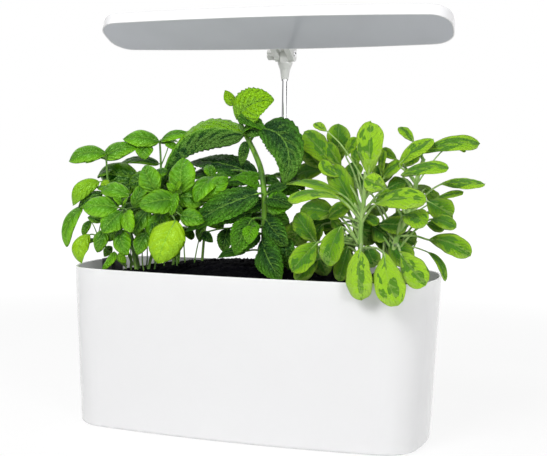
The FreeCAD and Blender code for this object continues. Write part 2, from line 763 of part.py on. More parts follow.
def make_socket():
    """Mould the mast socket that hooks over the back rim, with its screws and the power inlet."""
    low, high = "socket_foot_height", "tub_height + socket_saddle"
    saddle = new_body("socket_form")
    sketch = new_sketch(saddle, "socket_plan")
    half = size("socket_width") / 2
    front = size("tub_depth") / 2 - size("tub_wall") - size("socket_jaw_depth")
    back = size("mast_offset") + size("socket_back")
    spots = [Vector(-half, front), Vector(half, front), Vector(half, back), Vector(-half, back)]
    for number in range(4):
        sketch.addGeometry(Part.LineSegment(spots[number], spots[(number + 1) % 4]))
    for number in range(4):
        sketch.addConstraint(Sketcher.Constraint("Coincident", number, 2, (number + 1) % 4, 1))
    sketch.addConstraint(Sketcher.Constraint("Horizontal", 2))
    for number in (1, 3):
        sketch.addConstraint(Sketcher.Constraint("Vertical", number))
    sketch.addConstraint(Sketcher.Constraint("Symmetric", 0, 1, 0, 2, -2))
    dimension(sketch, "DistanceX", (0, 1, 0, 2), 2 * half, "socket_width")
    dimension(sketch, "DistanceY", (-1, 1, 0, 1), front, "tub_depth / 2 - tub_wall - socket_jaw_depth")
    dimension(sketch, "DistanceY", (-1, 1, 2, 1), back, BACK_FACE)
    base = pad(saddle, "socket_pad", sketch, f"{high} - {low}")
    limit = back - 1

    def rear_corner(edge):
        return upright(edge) and edge.BoundBox.YMin > limit

    rounded = round_edges(saddle, "socket_round", base, rear_corner, "socket_edge_radius")
    top = size("tub_height") + size("socket_saddle") - size("socket_foot_height")
    round_edges(saddle, "socket_top_round", rounded, at_height(top), "rim_edge_radius")
    stand(saddle, ("0", "0", low))
    outside = cut("socket_outside", saddle, tapered("socket_tub_form"))
    jaw = overlap(
        "socket_jaw",
        block("socket_jaw_block", ("socket_width", "socket_jaw_depth + tub_wall", "socket_jaw_height"),
              ("0", "tub_depth / 2 - (tub_wall + socket_jaw_depth) / 2"), "tub_height - socket_jaw_height"),
        tapered("socket_tub_inside", "tub_wall"))
    post = turned("socket_post", (
        ("0", "tub_height"),
        ("post_foot_radius", "tub_height"),
        ("post_foot_radius", "tub_height + socket_saddle"),
        ("post_top_radius", "post_top_height - post_lip_height"),
        ("post_top_radius", "post_top_height"),
        ("0", "post_top_height"),
    ))
    stand(post, ("0", "mast_offset", "0"))
    tube_hole = cylinder("socket_tube_hole", "lower_tube_radius", "post_top_height - lower_tube_foot_height",
                         ("0", "mast_offset", "lower_tube_foot_height"))
    inlet_hole = cylinder("socket_inlet_hole", "inlet_radius", "inlet_depth",
                          ("0", f"{BACK_FACE} - inlet_depth", "inlet_height"), "y")
    screw_z = "tub_height - socket_screw_drop"
    start = "tub_depth / 2 - tub_wall - socket_jaw_depth + 1.5"
    holes, screws = [], []
    for number, place in enumerate(screw_hole_places()):
        shank = f"{BACK_FACE} - socket_screw_head_height - ({start})"
        holes.append(cylinder(f"socket_hole_{number}", "socket_screw_radius", shank, (place, start, screw_z),
                              "y"))
        holes.append(cylinder(f"socket_seat_{number}", "socket_screw_head_radius", "socket_screw_head_height",
                              (place, f"{BACK_FACE} - socket_screw_head_height", screw_z), "y"))
        head = cylinder(f"socket_head_{number}", "socket_screw_head_radius", "socket_screw_head_height",
                        (place, f"{BACK_FACE} - socket_screw_head_height", screw_z), "y")
        drive = block(f"socket_drive_{number}",
                      ("socket_screw_radius * 2", "socket_screw_head_height", "socket_screw_radius / 2"),
                      (place, f"{BACK_FACE}"), f"{screw_z} - socket_screw_radius / 4")
        body = cylinder(f"socket_shank_{number}", "socket_screw_radius", shank, (place, start, screw_z), "y")
        screws.append(cut(f"socket_screw_{number}", join(f"socket_screw_solid_{number}", head, body), drive))
    solid = join("socket_solid", outside, jaw, post)
    node(cut("mast_socket", solid, tube_hole, inlet_hole, *holes), "mast_socket")
    group = doc.addObject("Part::Compound", "socket_screws")
    group.Links = screws
    node(group, "socket_screws")
    barrel = cylinder("inlet_barrel", "inlet_radius", "inlet_depth",
                      ("0", f"{BACK_FACE} - inlet_depth", "inlet_height"), "y")
    flange = cylinder("inlet_flange", "inlet_flange_radius", "inlet_flange_thickness",
                      ("0", BACK_FACE, "inlet_height"), "y")
    mouth = cylinder("inlet_mouth", "inlet_bore_radius", "inlet_bore_depth",
                     ("0", f"{BACK_FACE} + inlet_flange_thickness - inlet_bore_depth", "inlet_height"), "y")
    node(cut("power_inlet", join("inlet_solid", barrel, flange), mouth), "power_inlet")
    return node(cylinder("inlet_pin", "inlet_pin_radius", "inlet_pin_length",
                         ("0", f"{BACK_FACE} + inlet_flange_thickness - inlet_bore_depth",
                          "inlet_height"), "y"), "inlet_pin")


def make_mast():
    """Make the two telescoping tubes with their bushes and the swivel collar."""
    at = ("0", "mast_offset")
    node(ring("lower_tube", "lower_tube_radius", "lower_tube_radius - lower_tube_wall",
              "lower_tube_top_height - lower_tube_foot_height",
              (*at, "lower_tube_foot_height")), "lower_tube")
    node(ring("top_bush", "lower_tube_radius - lower_tube_wall", "upper_tube_radius + slide_clearance",
              "top_bush_length", (*at, "lower_tube_top_height - top_bush_length")), "top_bush")
    node(ring("upper_tube", "upper_tube_radius", "upper_tube_radius - upper_tube_wall",
              "upper_tube_top_height - upper_tube_foot_height",
              (*at, "upper_tube_foot_height")), "upper_tube")
    node(ring("foot_bush", "lower_tube_radius - lower_tube_wall - slide_clearance", "upper_tube_radius",
              "foot_bush_length", (*at, "upper_tube_foot_height")), "foot_bush")
    return node(ring("mast_collar", "collar_radius", "upper_tube_radius", "collar_thickness",
                     (*at, "collar_foot_height")), "mast_collar")


def make_neck():
    """Turn the swivelling neck and give it the tongue that the lamp tilts on."""
    body = turned("neck_form", (
        ("0", "neck_foot_height"),
        ("neck_foot_radius", "neck_foot_height"),
        ("neck_waist_radius", "neck_waist_height"),
        ("neck_shoulder_radius", "neck_shoulder_height"),
        ("neck_shoulder_radius", "neck_top_height"),
        ("0", "neck_top_height"),
    ))
    stand(body, ("0", "mast_offset", "0"))
    stalk = block("neck_stalk", ("tongue_width", "2 * tongue_radius", "pivot_height - neck_shoulder_height"),
                  ("0", "mast_offset"), "neck_shoulder_height")
    eye = cylinder("neck_eye", "tongue_radius", "tongue_width",
                   ("-tongue_width / 2", "mast_offset", "pivot_height"), "x")
    tube_hole = cylinder("neck_tube_hole", "upper_tube_radius + slide_clearance",
                         "upper_tube_top_height - neck_foot_height + slide_clearance",
                         ("0", "mast_offset", "neck_foot_height"))
    bolt_hole = cylinder("neck_bolt_hole", "bolt_radius + bolt_clearance", "tongue_width",
                         ("-tongue_width / 2", "mast_offset", "pivot_height"), "x")
    return node(cut("neck", join("neck_solid", body, stalk, eye), tube_hole, bolt_hole), "neck")


def on_pivot(item, at=("0", "0", "0"), axis="z"):
    """Place an object in the frame of the tilting lamp, whose origin is the pivot."""
    tilt = Rotation(Vector(1, 0, 0), -size("panel_tilt"))
    spot = Vector(*(number_of_terms(text) for text in at))
    base = Vector(0, size("mast_offset"), size("pivot_height")) + tilt.multVec(spot)
    item.Placement = Placement(base, tilt.multiply(AXES[axis]))
    return item


def number_of_terms(text):
    """Add up a formula that may also hold halves, written as alias / 2."""
    total = 0.0
    for sign, alias, part in re.findall(r"([-+]?)\s*([a-z_]+|[0-9.]+)\s*(/\s*2)?", text):
        amount = size(alias) if alias[0].isalpha() else float(alias)
        total += (-1 if sign == "-" else 1) * amount / (2 if part else 1)
    return total


def on_panel(item):
    """Place an object drawn round the middle of the lamp's underside."""
    return on_pivot(item, ("0", "-panel_reach - panel_depth / 2", "-panel_drop"))


EAR_START = "tongue_width / 2 + ear_clearance"
EAR_END = "tongue_width / 2 + ear_clearance + ear_thickness"


def make_bracket():
    """Make the two-eared bracket, its pivot bolt, washer, knob and brass insert."""
    ears = []
    for name, start in (("left", f"-({EAR_END})"), ("right", EAR_START)):
        ears.append(cylinder(f"ear_{name}", "ear_radius", "ear_thickness", (start, "0", "0"), "x"))
        arm = block(f"arm_{name}", ("ear_thickness", "panel_reach", "arm_height"),
                    (f"{start} + ear_thickness / 2", "-panel_reach / 2"), "arm_rise - arm_height")
        ears.append(arm)
    web_depth = "panel_reach - ear_radius - web_gap"
    web = block("bracket_web", (f"2 * ({EAR_END})", web_depth, "web_thickness"),
                ("0", f"-panel_reach + ({web_depth}) / 2"), "arm_rise - web_thickness")
    rib = block("bracket_rib", ("rib_thickness", "rib_length", "arm_height"),
                ("0", "-panel_reach + rib_length / 2"), "arm_rise - arm_height")
    back_plate = block("bracket_plate", (f"2 * ({EAR_END})", "web_thickness", "arm_height"),
                       ("0", "-panel_reach + web_thickness / 2"), "arm_rise - arm_height")
    bore = cylinder("bracket_bore", "bolt_radius", f"2 * ({EAR_END})", (f"-({EAR_END})", "0", "0"), "x")
    pilots = [
        cylinder(f"bracket_pilot_{number}", "arm_screw_radius", "arm_screw_reach",
                 (f"{sign} * ({EAR_START} + ear_thickness / 2)", "-panel_reach",
                  "arm_rise - arm_height / 2"), "y")
        for number, sign in enumerate((-1, 1))
    ]
    solid = join("bracket_solid", *ears, web, rib, back_plate)
    node(on_pivot(cut("lamp_bracket", solid, bore, *pilots)), "lamp_bracket")
    node(make_bolt(), "pivot_bolt")
    washer = ring("pivot_washer", "washer_radius", "bolt_radius", "washer_thickness",
                  (f"-({EAR_END}) - washer_thickness", "0", "0"), "x")
    node(on_pivot(washer), "pivot_washer")
    return make_knob()


def make_bolt():
    """Turn the dome-headed pivot bolt along the tilt axis."""
    tail = ("tongue_width / 2 + ear_clearance + ear_thickness + washer_thickness"
            " + insert_length - bolt_end_gap")
    shank = cylinder("bolt_shank", "bolt_radius", f"{EAR_END} + {tail}", (f"-({tail})", "0", "0"), "x")
    dome = doc.addObject("Part::Ellipsoid", "bolt_dome")
    tie(dome, "Radius1", "bolt_head_height")
    tie(dome, "Radius2", "bolt_head_radius")
    tie(dome, "Radius3", "bolt_head_radius")
    stand(dome, (EAR_END, "0", "0"), "x")
    half = block("bolt_dome_half", ("2 * bolt_head_radius", "2 * bolt_head_radius", "2 * bolt_head_radius"),
                 (f"{EAR_END} + bolt_head_radius", "0"), "-bolt_head_radius")
    head = overlap("bolt_head", dome, half)
    return on_pivot(join("pivot_bolt", shank, head))


def make_knob():
    """Make the fluted clamping knob and the brass insert that runs on the bolt."""
    body = new_body("clamp_knob")
    disc = circle_sketch(body, "knob_round", "knob_radius")
    pad(body, "knob_pad", disc, "knob_length - knob_collar_length")
    collar = circle_sketch(body, "knob_collar", "knob_collar_radius",
                           offset="knob_length - knob_collar_length")
    pad(body, "knob_collar_pad", collar, "knob_collar_length")
    flute = circle_sketch(body, "knob_flute", "knob_flute_radius",
                          ("knob_radius + knob_flute_radius / 2", "0"))
    groove = pocket(body, "knob_flute_cut", flute, "knob_length - knob_collar_length", Reversed=True)
    pattern = body.newObject("PartDesign::PolarPattern", "knob_flutes")
    pattern.Originals = [groove]
    pattern.Axis = (disc, ["N_Axis"])
    pattern.Angle = 360.0
    tie(pattern, "Occurrences", "knob_flute_count")
    body.Tip = pattern
    seat = circle_sketch(body, "knob_seat", "insert_radius", offset="knob_length")
    pocket(body, "knob_seat_cut", seat, "insert_length")
    end = "-tongue_width / 2 - ear_clearance - ear_thickness - washer_thickness - knob_length"
    on_pivot(body, (end, "0", "0"), "x")
    node(body, "clamp_knob")
    insert = ring("knob_insert", "insert_radius", "bolt_radius + slide_clearance", "insert_length",
                  (f"-({EAR_END}) - washer_thickness - insert_length", "0", "0"), "x")
    return node(on_pivot(insert), "knob_insert")


def boss_places():
    """Give the eight places of the lamp board's bosses round the lamp's middle."""
    return [
        (f"{along} * board_boss_spacing", f"{across} * board_boss_offset")
        for along in (-1.5, -0.5, 0.5, 1.5)
        for across in (-1, 1)
    ]


BOARD_TOP = "board_height + board_thickness"
CEILING = "panel_height - panel_wall"


def make_shell():
    """Mould the lamp's hollow top shell with its bosses and holes."""
    body = new_body("shell_form")
    plan = oval_sketch(body, "shell_plan", "panel")
    base = pad(body, "shell_pad", plan, "panel_height")
    round_edges(body, "shell_round", base, at_height(size("panel_height")), "panel_edge_radius")
    rabbet = oval_sketch(body, "shell_rabbet", "panel", "diffuser_inset")
    pocket(body, "shell_rabbet_cut", rabbet, "diffuser_thickness", Reversed=True)
    room = oval_sketch(body, "shell_room", "panel", "panel_wall")
    pocket(body, "shell_room_cut", room, CEILING, Reversed=True)
    bosses, pilots = [], []
    for number, place in enumerate(boss_places()):
        foot = (*place, BOARD_TOP)
        bosses.append(cylinder(f"boss_{number}", "board_boss_radius", f"{CEILING} - ({BOARD_TOP})", foot))
        pilots.append(cylinder(f"boss_pilot_{number}", "board_screw_radius", "board_screw_reach", foot))
    button_hole = cylinder("shell_button_hole", "button_radius + button_clearance", "2 * panel_wall",
                           ("0", "button_offset", f"{CEILING} - panel_wall / 2"))
    arm_holes = [
        cylinder(f"shell_arm_hole_{number}", "arm_screw_radius", "2 * panel_wall",
                 (f"{sign} * ({EAR_START} + ear_thickness / 2)", "panel_depth / 2 - 1.5 * panel_wall",
                  "panel_drop + arm_rise - arm_height / 2"), "y")
        for number, sign in enumerate((-1, 1))
    ]
    shell = cut("panel_shell", join("shell_solid", body, *bosses), *pilots, button_hole, *arm_holes)
    return node(on_panel(shell), "panel_shell")


def make_lamp():
    """Make what the lamp's shell holds: diffuser, board, lights, screws, driver, switch and button."""
    lens = new_body("diffuser")
    plan = oval_sketch(lens, "lens_plan", "panel", "diffuser_inset + diffuser_gap")
    pad(lens, "lens_pad", plan, "diffuser_thickness")
    node(on_panel(lens), "diffuser")
    plate = block("board_plate", ("board_length", "board_depth", "board_thickness"), ("0", "0"),
                  "board_height")
    holes = [
        cylinder(f"board_hole_{number}", "board_screw_radius", "board_thickness", (*place, "board_height"))
        for number, place in enumerate(boss_places())
    ]
    node(on_panel(cut("led_board", plate, *holes)), "led_board")
    screws = []
    for number, place in enumerate(boss_places()):
        head = cylinder(f"board_head_{number}", "board_screw_head_radius", "board_screw_head_height",
                        (*place, "board_height - board_screw_head_height"))
        shank = cylinder(f"board_shank_{number}", "board_screw_radius", "board_thickness + board_screw_reach",
                         (*place, "board_height"))
        screws.append(join(f"board_screw_{number}", head, shank))
    group = doc.addObject("Part::Compound", "board_screws")
    group.Links = screws
    node(on_panel(group), "board_screws")
    make_lights()
    make_driver()
    return make_button()


def make_lights():
    """Set out the rows of light chips, every third one in the middle row red."""
    rows, columns = int(size("led_row_count")), int(size("led_column_count"))
    chips = {"white_leds": [], "red_leds": []}
    for row_number in range(rows):
        for column in range(columns):
            x = (column - (columns - 1) / 2) * size("led_spacing")
            y = (row_number - (rows - 1) / 2) * size("led_row_spacing")
            corner = Vector(x, y, size("board_height")) - Vector(
                size("led_length") / 2, size("led_width") / 2, size("led_height")
            )
            chip = Part.makeBox(size("led_length"), size("led_width"), size("led_height"), corner)
            red = row_number == rows // 2 and column % 3 == 1
            chips["red_leds" if red else "white_leds"].append(chip)
    for name, solids in chips.items():
        item = doc.addObject("Part::Feature", name)
        item.Shape = Part.makeCompound(solids)
        node(on_panel(item), name)


def make_driver():
    """Make the driver board with its coil and chips, and the switch under the button."""
    plate = block("driver_plate", ("driver_length", "driver_depth", "driver_thickness"),
                  ("0", "button_offset - 4"), BOARD_TOP)
    top = f"{BOARD_TOP} + driver_thickness"
    coil = block("driver_coil", ("driver_part_length", "driver_part_length", "driver_part_height"),
                 ("-driver_length / 2 + driver_part_length", "button_offset - 4"), top)
    chip = block("driver_chip", ("driver_part_length", "driver_part_length", "driver_thickness"),
                 ("driver_length / 2 - driver_part_length", "button_offset - 4"), top)
    node(on_panel(join("driver_board", plate, coil, chip)), "driver_board")
    height = f"{CEILING} - button_flange_thickness - button_travel - switch_gap - ({top})"
    case = block("switch_case", ("switch_width", "switch_width", "driver_thickness"), ("0", "button_offset"),
                 top)
    plunger = cylinder("switch_plunger", "switch_plunger_radius", height, ("0", "button_offset", top))
    node(on_panel(join("button_switch", case, plunger)), "button_switch")
    screws = []
    for number, sign in enumerate((-1, 1)):
        place = (f"{sign} * ({EAR_START} + ear_thickness / 2)",
                 "panel_depth / 2 - panel_wall - arm_screw_seat",
                 "panel_drop + arm_rise - arm_height / 2")
        shank = cylinder(f"arm_shank_{number}", "arm_screw_radius", "panel_wall + arm_screw_reach", place,
                         "y")
        head = cylinder(f"arm_head_{number}", "arm_screw_head_radius", "arm_screw_head_height",
                        (place[0], f"{place[1]} - arm_screw_head_height", place[2]), "y")
        screws.append(join(f"arm_screw_{number}", shank, head))
    group = doc.addObject("Part::Compound", "bracket_screws")
    group.Links = screws
    return node(on_panel(group), "bracket_screws")


def make_button():
    """Turn the push button that stands just proud of the lamp's top."""
    body = turned("power_button", (
        ("0", "panel_height - panel_wall - button_flange_thickness"),
        ("button_flange_radius", "panel_height - panel_wall - button_flange_thickness"),
        ("button_flange_radius", "panel_height - panel_wall"),
        ("button_radius", "panel_height - panel_wall"),
        ("button_radius", "panel_height + button_proud"),
        ("0", "panel_height + button_proud"),
    ))
    on_pivot(body, ("0", "-panel_reach - panel_depth / 2 + button_offset", "-panel_drop"))
    return node(body, "power_button")


# A leaf runs from the end of its stalk to its tip, in millimetres from its plant's own origin, which is the
# middle of its cup at the height of the tub's rim. Facing 0 turns the blade's upper side up, 1 to the front.
Leaf = namedtuple("Leaf", "base tip width facing")
Plant = namedtuple("Plant", "name cup stem_radius stalk_radius stems leaves")

BASIL = Plant(
    "basil", -1.5, "basil_stem_radius", "basil_petiole_radius",
    (
        ((7, -35, -10), (17, -32, 35), (37, -28, 78)),
        ((-6, -30, -10), (-13, -32, 30), (-19, -40, 61)),
        ((-25, -5, -10), (-44, -5, 48), (-56, -8, 87), (-57, -10, 116)),
        ((0, 5, -10), (2, 12, 60), (-1, 15, 118), (-3, 16, 138)),
        ((58, -5, -10), (60, -2, 41), (65, 0, 98)),
        ((-24, -25, -10), (-47, -25, 17), (-59, -25, 30)),
    ),
    (
        Leaf((48, -58, 53), (34, -72, 9), 38, 0.9),
        Leaf((42, -28, 81), (40, -16, 119), 29, 0.8),
        Leaf((16, -35, 81), (-3, -25, 110), 25, 0.7),
        Leaf((40, -38, 74), (6, -58, 67), 27, 0.6),
        Leaf((37, -25, 76), (66, -15, 73), 26, 0.4),
        Leaf((71, -5, 98), (61, -35, 72), 25, 0.5),
        Leaf((51, -52, 58), (77, -50, 53), 20, 0.5),
        Leaf((-23, -50, 64), (-59, -60, 63), 26, 0.5),
        Leaf((-18, -50, 60), (-33, -66, 38), 22, 0.5),
        Leaf((-12, -50, 61), (2, -66, 40), 19, 0.7),
        Leaf((-17, -40, 64), (-4, -30, 89), 15, 0.6),
        Leaf((-18, -40, 66), (-52, -28, 80), 18, 0.4),
        Leaf((-66, -12, 91), (-93, -20, 64), 16, 0.3),
        Leaf((-83, -15, 61), (-102, -20, 18), 18, 0.4),
        Leaf((-66, -25, 30), (-76, -30, 2), 20, 0.6),
        Leaf((-45, -35, 38), (-51, -42, 14), 18, 0.6),
        Leaf((-21, -50, 40), (-7, -60, 14), 20, 0.8),
        Leaf((11, -48, 38), (4, -58, 15), 20, 0.8),
        Leaf((-59, -10, 118), (-96, -15, 117), 24, 0.15),
        Leaf((-58, -8, 118), (-29, 5, 135), 24, 0.15),
        Leaf((-2, 12, 139), (-40, 0, 142), 24, 0.1),
        Leaf((-2, 16, 139), (35, 22, 147), 22, 0.1),
        Leaf((-28, 10, 99), (-79, 20, 102), 24, 0.3),
        Leaf((-7, 18, 113), (-55, 38, 114), 20, 0.1),
        Leaf((-12, 24, 70), (-40, 50, 60), 26, -0.3),
        Leaf((10, 24, 85), (32, 50, 72), 26, -0.3),
        Leaf((-50, 10, 75), (-72, 38, 62), 22, -0.2),
        Leaf((60, 8, 80), (48, 40, 70), 22, -0.2),
        Leaf((-16, 20, 45), (-8, 50, 25), 22, -0.5),
    ),
)

MINT = Plant(
    "mint", 0.5, "mint_stem_radius", "mint_petiole_radius",
    (
        ((-24, -25, -10), (-24, -24, 37), (-26, -20, 78), (-31, -14, 106), (-41, -8, 125), (-49, -4, 139),
         (-61, 0, 157)),
    ),
    (
        Leaf((-63, 0, 160), (-24, -6, 182), 32, 0.8),
        Leaf((-68, 2, 176), (-83, 6, 192), 9, 0.5),
        Leaf((-30, -20, 156), (4, -42, 93), 40, 0.9),
        Leaf((-54, -4, 140), (-152, 6, 105), 42, 0.6),
        Leaf((-30, -28, 83), (-112, -30, 40), 34, 0.6),
        Leaf((-39, -5, 105), (-111, 45, 105), 30, 0.1),
        Leaf((-29, -35, 57), (-44, -52, 20), 27, 0.8),
        Leaf((-38, -45, 53), (-25, -55, 31), 16, 0.7),
        Leaf((-21, -25, 78), (7, -35, 71), 20, 0.5),
        Leaf((-17, -40, 54), (1, -62, 0), 28, 0.9),
        Leaf((-26, -6, 100), (2, 40, 86), 34, -0.3),
        Leaf((-28, -10, 60), (-60, 32, 42), 34, -0.4),
        Leaf((-20, -14, 45), (10, 24, 22), 30, -0.5),
    ),
)

SAGE = Plant(
    "sage", 1.5, "sage_stem_radius", "sage_petiole_radius",
    (
        ((3, -35, -10), (3, -35, 16), (1, -35, 29), (1, -33, 46)),
        ((30, -15, -10), (30, -15, 15), (33, -18, 32), (40, -22, 51)),
    ),
    (
        Leaf((8, -30, 105), (7, -20, 159), 28, 0.9),
        Leaf((35, -15, 115), (68, 0, 143), 18, 0.4),
        Leaf((58, 5, 135), (111, 25, 140), 18, 0.1),
        Leaf((41, -30, 104), (88, -40, 113), 20, 0.3),
        Leaf((77, -10, 98), (122, -5, 95), 18, 0.15),
        Leaf((20, -45, 80), (70, -60, 85), 24, 0.3),
        Leaf((68, -30, 75), (92, -38, 65), 20, 0.4),
        Leaf((66, -20, 74), (101, 0, 88), 16, 0.0),
        Leaf((44, -45, 64), (73, -60, 62), 22, 0.4),
        Leaf((76, -25, 42), (115, -35, 29), 22, 0.6),
        Leaf((68, -10, 27), (86, -12, 4), 9, 0.3),
        Leaf((11, -80, 32), (17, -98, -14), 29, 0.9),
        Leaf((35, -80, 32), (50, -98, -17), 30, 0.9),
        Leaf((52, -78, 32), (74, -96, 4), 24, 0.8),
        Leaf((-38, -55, 36), (-60, -72, 7), 24, 0.8),
        Leaf((-15, -50, 53), (-25, -66, 14), 22, 0.8),
        Leaf((-20, -45, 81), (-66, -70, 78), 24, 0.2),
        Leaf((-48, -25, 91), (-83, -15, 97), 18, 0.2),
        Leaf((-4, -25, 73), (-47, -5, 120), 26, 0.6),
        Leaf((-40, 0, 125), (-71, 10, 149), 20, 0.4),
        Leaf((-34, 20, 126), (-35, 28, 159), 22, 0.8),
        Leaf((-27, -20, 64), (-68, -10, 68), 24, 0.5),
        Leaf((3, 20, 35), (41, 45, 12), 34, 0.5),
        Leaf((28, 15, 84), (39, 30, 100), 22, 0.6),
        Leaf((-64, -10, 59), (-75, -20, 29), 26, 0.8),
        Leaf((10, 15, 70), (0, 55, 60), 26, -0.3),
        Leaf((40, 10, 90), (60, 45, 85), 22, -0.3),
        Leaf((-30, 15, 50), (-50, 45, 35), 24, -0.4),
    ),
)


def bar(start, end, radius):
    """Make a round bar between two points."""
    run = end - start
    return Part.makeCylinder(radius, run.Length, start, run)


def branch(points, radius, tip_radius):
    """Make a stem of straight runs with a ball at each bend, thinning to its tip."""
    pieces = []
    last = len(points) - 1
    for number in range(last):
        share = number / last
        width = radius + (tip_radius - radius) * share
        pieces.append(bar(points[number], points[number + 1], width))
        pieces.append(Part.makeSphere(width, points[number + 1]))
    return pieces


def blade_axes(start, end, facing):
    """Give the directions along and out of a leaf."""
    along = end - start
    along.normalize()
    wish = Vector(0, -facing, 1 - abs(facing))
    if facing < 0:
        wish = Vector(0, -facing, 1 + facing)
    out = wish - along * wish.dot(along)
    out.normalize()
    return along, out


def leaf_blade(start, end, width, facing):
    """Make a pointed leaf of even thickness, arched along its length, and its first run of midrib."""
    along, out = blade_axes(start, end, facing)
    chord = (end - start).Length
    pitch = math.atan(2 * size("leaf_arch"))
    long, drop = chord * math.cos(pitch), chord * math.sin(pitch)
    bend = (long**2 + drop**2) / (2 * drop)
    thick = size("leaf_thickness")
    widest = Vector(0.45 * long, width / 2, 0)
    rise = Vector(0, 0, -chord)
    edges = [
        Part.Arc(Vector(0, 0, 0), widest, Vector(long, 0, 0)).toShape(),
        Part.Arc(Vector(long, 0, 0), Vector(widest.x, -widest.y, 0), Vector(0, 0, 0)).toShape(),
    ]
    outline = Part.Face(Part.Wire(edges))
    outline.translate(rise)
    prism = outline.extrude(Vector(0, 0, 2 * chord))
    axis_foot = Vector(0, -width, -bend)
    outer = Part.makeCylinder(bend, 2 * width, axis_foot, Vector(0, 1, 0))
    inner = Part.makeCylinder(bend - thick, 2 * width, axis_foot, Vector(0, 1, 0))
    blade = prism.common(outer.cut(inner))
    first = along * math.cos(pitch) + out * math.sin(pitch)
    upper = out * math.cos(pitch) - along * math.sin(pitch)
    across = upper.cross(first)
    frame = FreeCAD.Matrix(first.x, across.x, upper.x, start.x, first.y, across.y, upper.y, start.y,
                           first.z, across.z, upper.z, start.z, 0, 0, 0, 1)
    blade.Placement = Placement(frame)
    return blade, first


def nearest_on_stems(stems, spot):
    """Find the point on the stems that a leaf stalk grows from, never above the leaf."""
    best = None
    for stem in stems:
        for start, end in zip(stem, stem[1:]):
            for step in range(11):
                point = start + (end - start) * (step / 10)
                if point.z > spot.z + 2:
                    continue
                reach = (point - spot).Length
                if best is None or reach < best[0]:
                    best = (reach, point)
    return best[1]


def make_plant(plant, soil):
    """Grow one plant out of the medium: stems, stalks and arched leaves in one solid."""
    origin = Vector(plant.cup * size("cup_spacing"), 0, size("tub_height"))
    stems = [[origin + Vector(*point) for point in stem] for stem in plant.stems]
    stem_radius, stalk_radius = size(plant.stem_radius), size(plant.stalk_radius)
    pieces = []
    for stem in stems:
        pieces += branch(stem, stem_radius, 0.75 * stem_radius)
    for leaf in plant.leaves:
        start, end = origin + Vector(*leaf.base), origin + Vector(*leaf.tip)
        blade, first = leaf_blade(start, end, leaf.width, leaf.facing)
        root = nearest_on_stems(stems, start)
        if (start - root).Length > stalk_radius:
            pieces.append(bar(root, start, stalk_radius))
        pieces.append(Part.makeSphere(stalk_radius, start))
        pieces.append(bar(start, start + first * (0.3 * (end - start).Length), stalk_radius * 0.9))
        pieces.append(blade)
    solid = pieces[0].multiFuse(pieces[1:]).cut(soil)
    item = doc.addObject("Part::Feature", plant.name)
    item.Shape = solid
    return node(item, plant.name)


make_tub()
make_tray()
make_soil()
make_column()
make_pump()
make_socket()
make_mast()
make_neck()
make_bracket()
make_shell()
make_lamp()
doc.recompute()
for garden_plant in (BASIL, MINT, SAGE):
    make_plant(garden_plant, NODES["growing_medium"].Shape)
doc.recompute()

faults = []
for item in doc.Objects:
    if "Invalid" in item.State or "Error" in item.State:
        faults.append(f"{item.Name}: {item.State}")
for name, item in NODES.items():
    if item.Shape.isNull() or not item.Shape.isValid() or not item.Shape.Solids:
        faults.append(f"{name}: bad shape")
if faults:
    raise SystemExit("\n".join(faults))

os.makedirs("parts", exist_ok=True)
for name, item in NODES.items():
    item.Shape.exportStep(f"parts/{name}.step")
    box = item.Shape.BoundBox
    reach = f"{box.XLength:.1f} by {box.YLength:.1f} by {box.ZLength:.1f} mm, top at {box.ZMax:.1f}"
    print(f"{name}: {len(item.Shape.Solids)} solid, {item.Shape.Volume:.0f} mm3, {reach}")
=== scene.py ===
import logging
import math
import random
from dataclasses import dataclass, field
from enum import Enum
from typing import Callable, Iterable, Sequence

import bmesh
import bpy
from mathutils import Matrix, Vector, noise


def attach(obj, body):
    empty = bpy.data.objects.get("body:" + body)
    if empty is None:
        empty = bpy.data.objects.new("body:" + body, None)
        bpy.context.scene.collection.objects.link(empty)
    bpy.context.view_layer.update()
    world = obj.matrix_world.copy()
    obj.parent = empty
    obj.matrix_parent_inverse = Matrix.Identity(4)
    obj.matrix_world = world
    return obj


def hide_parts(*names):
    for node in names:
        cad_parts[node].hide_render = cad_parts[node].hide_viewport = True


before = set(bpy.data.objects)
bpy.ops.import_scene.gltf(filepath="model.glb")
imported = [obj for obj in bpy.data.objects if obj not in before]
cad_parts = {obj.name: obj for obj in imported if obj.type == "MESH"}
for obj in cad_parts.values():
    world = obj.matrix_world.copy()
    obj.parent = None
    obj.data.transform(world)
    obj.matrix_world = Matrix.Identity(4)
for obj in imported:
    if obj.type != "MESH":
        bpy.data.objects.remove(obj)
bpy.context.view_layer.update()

MM = 0.001
LOG = logging.getLogger("garden")
GARDEN = "garden"
Colour = tuple[float, float, float]
Point = tuple[float, float, float]
WHITE: Colour = (1.0, 1.0, 1.0)


# Materials


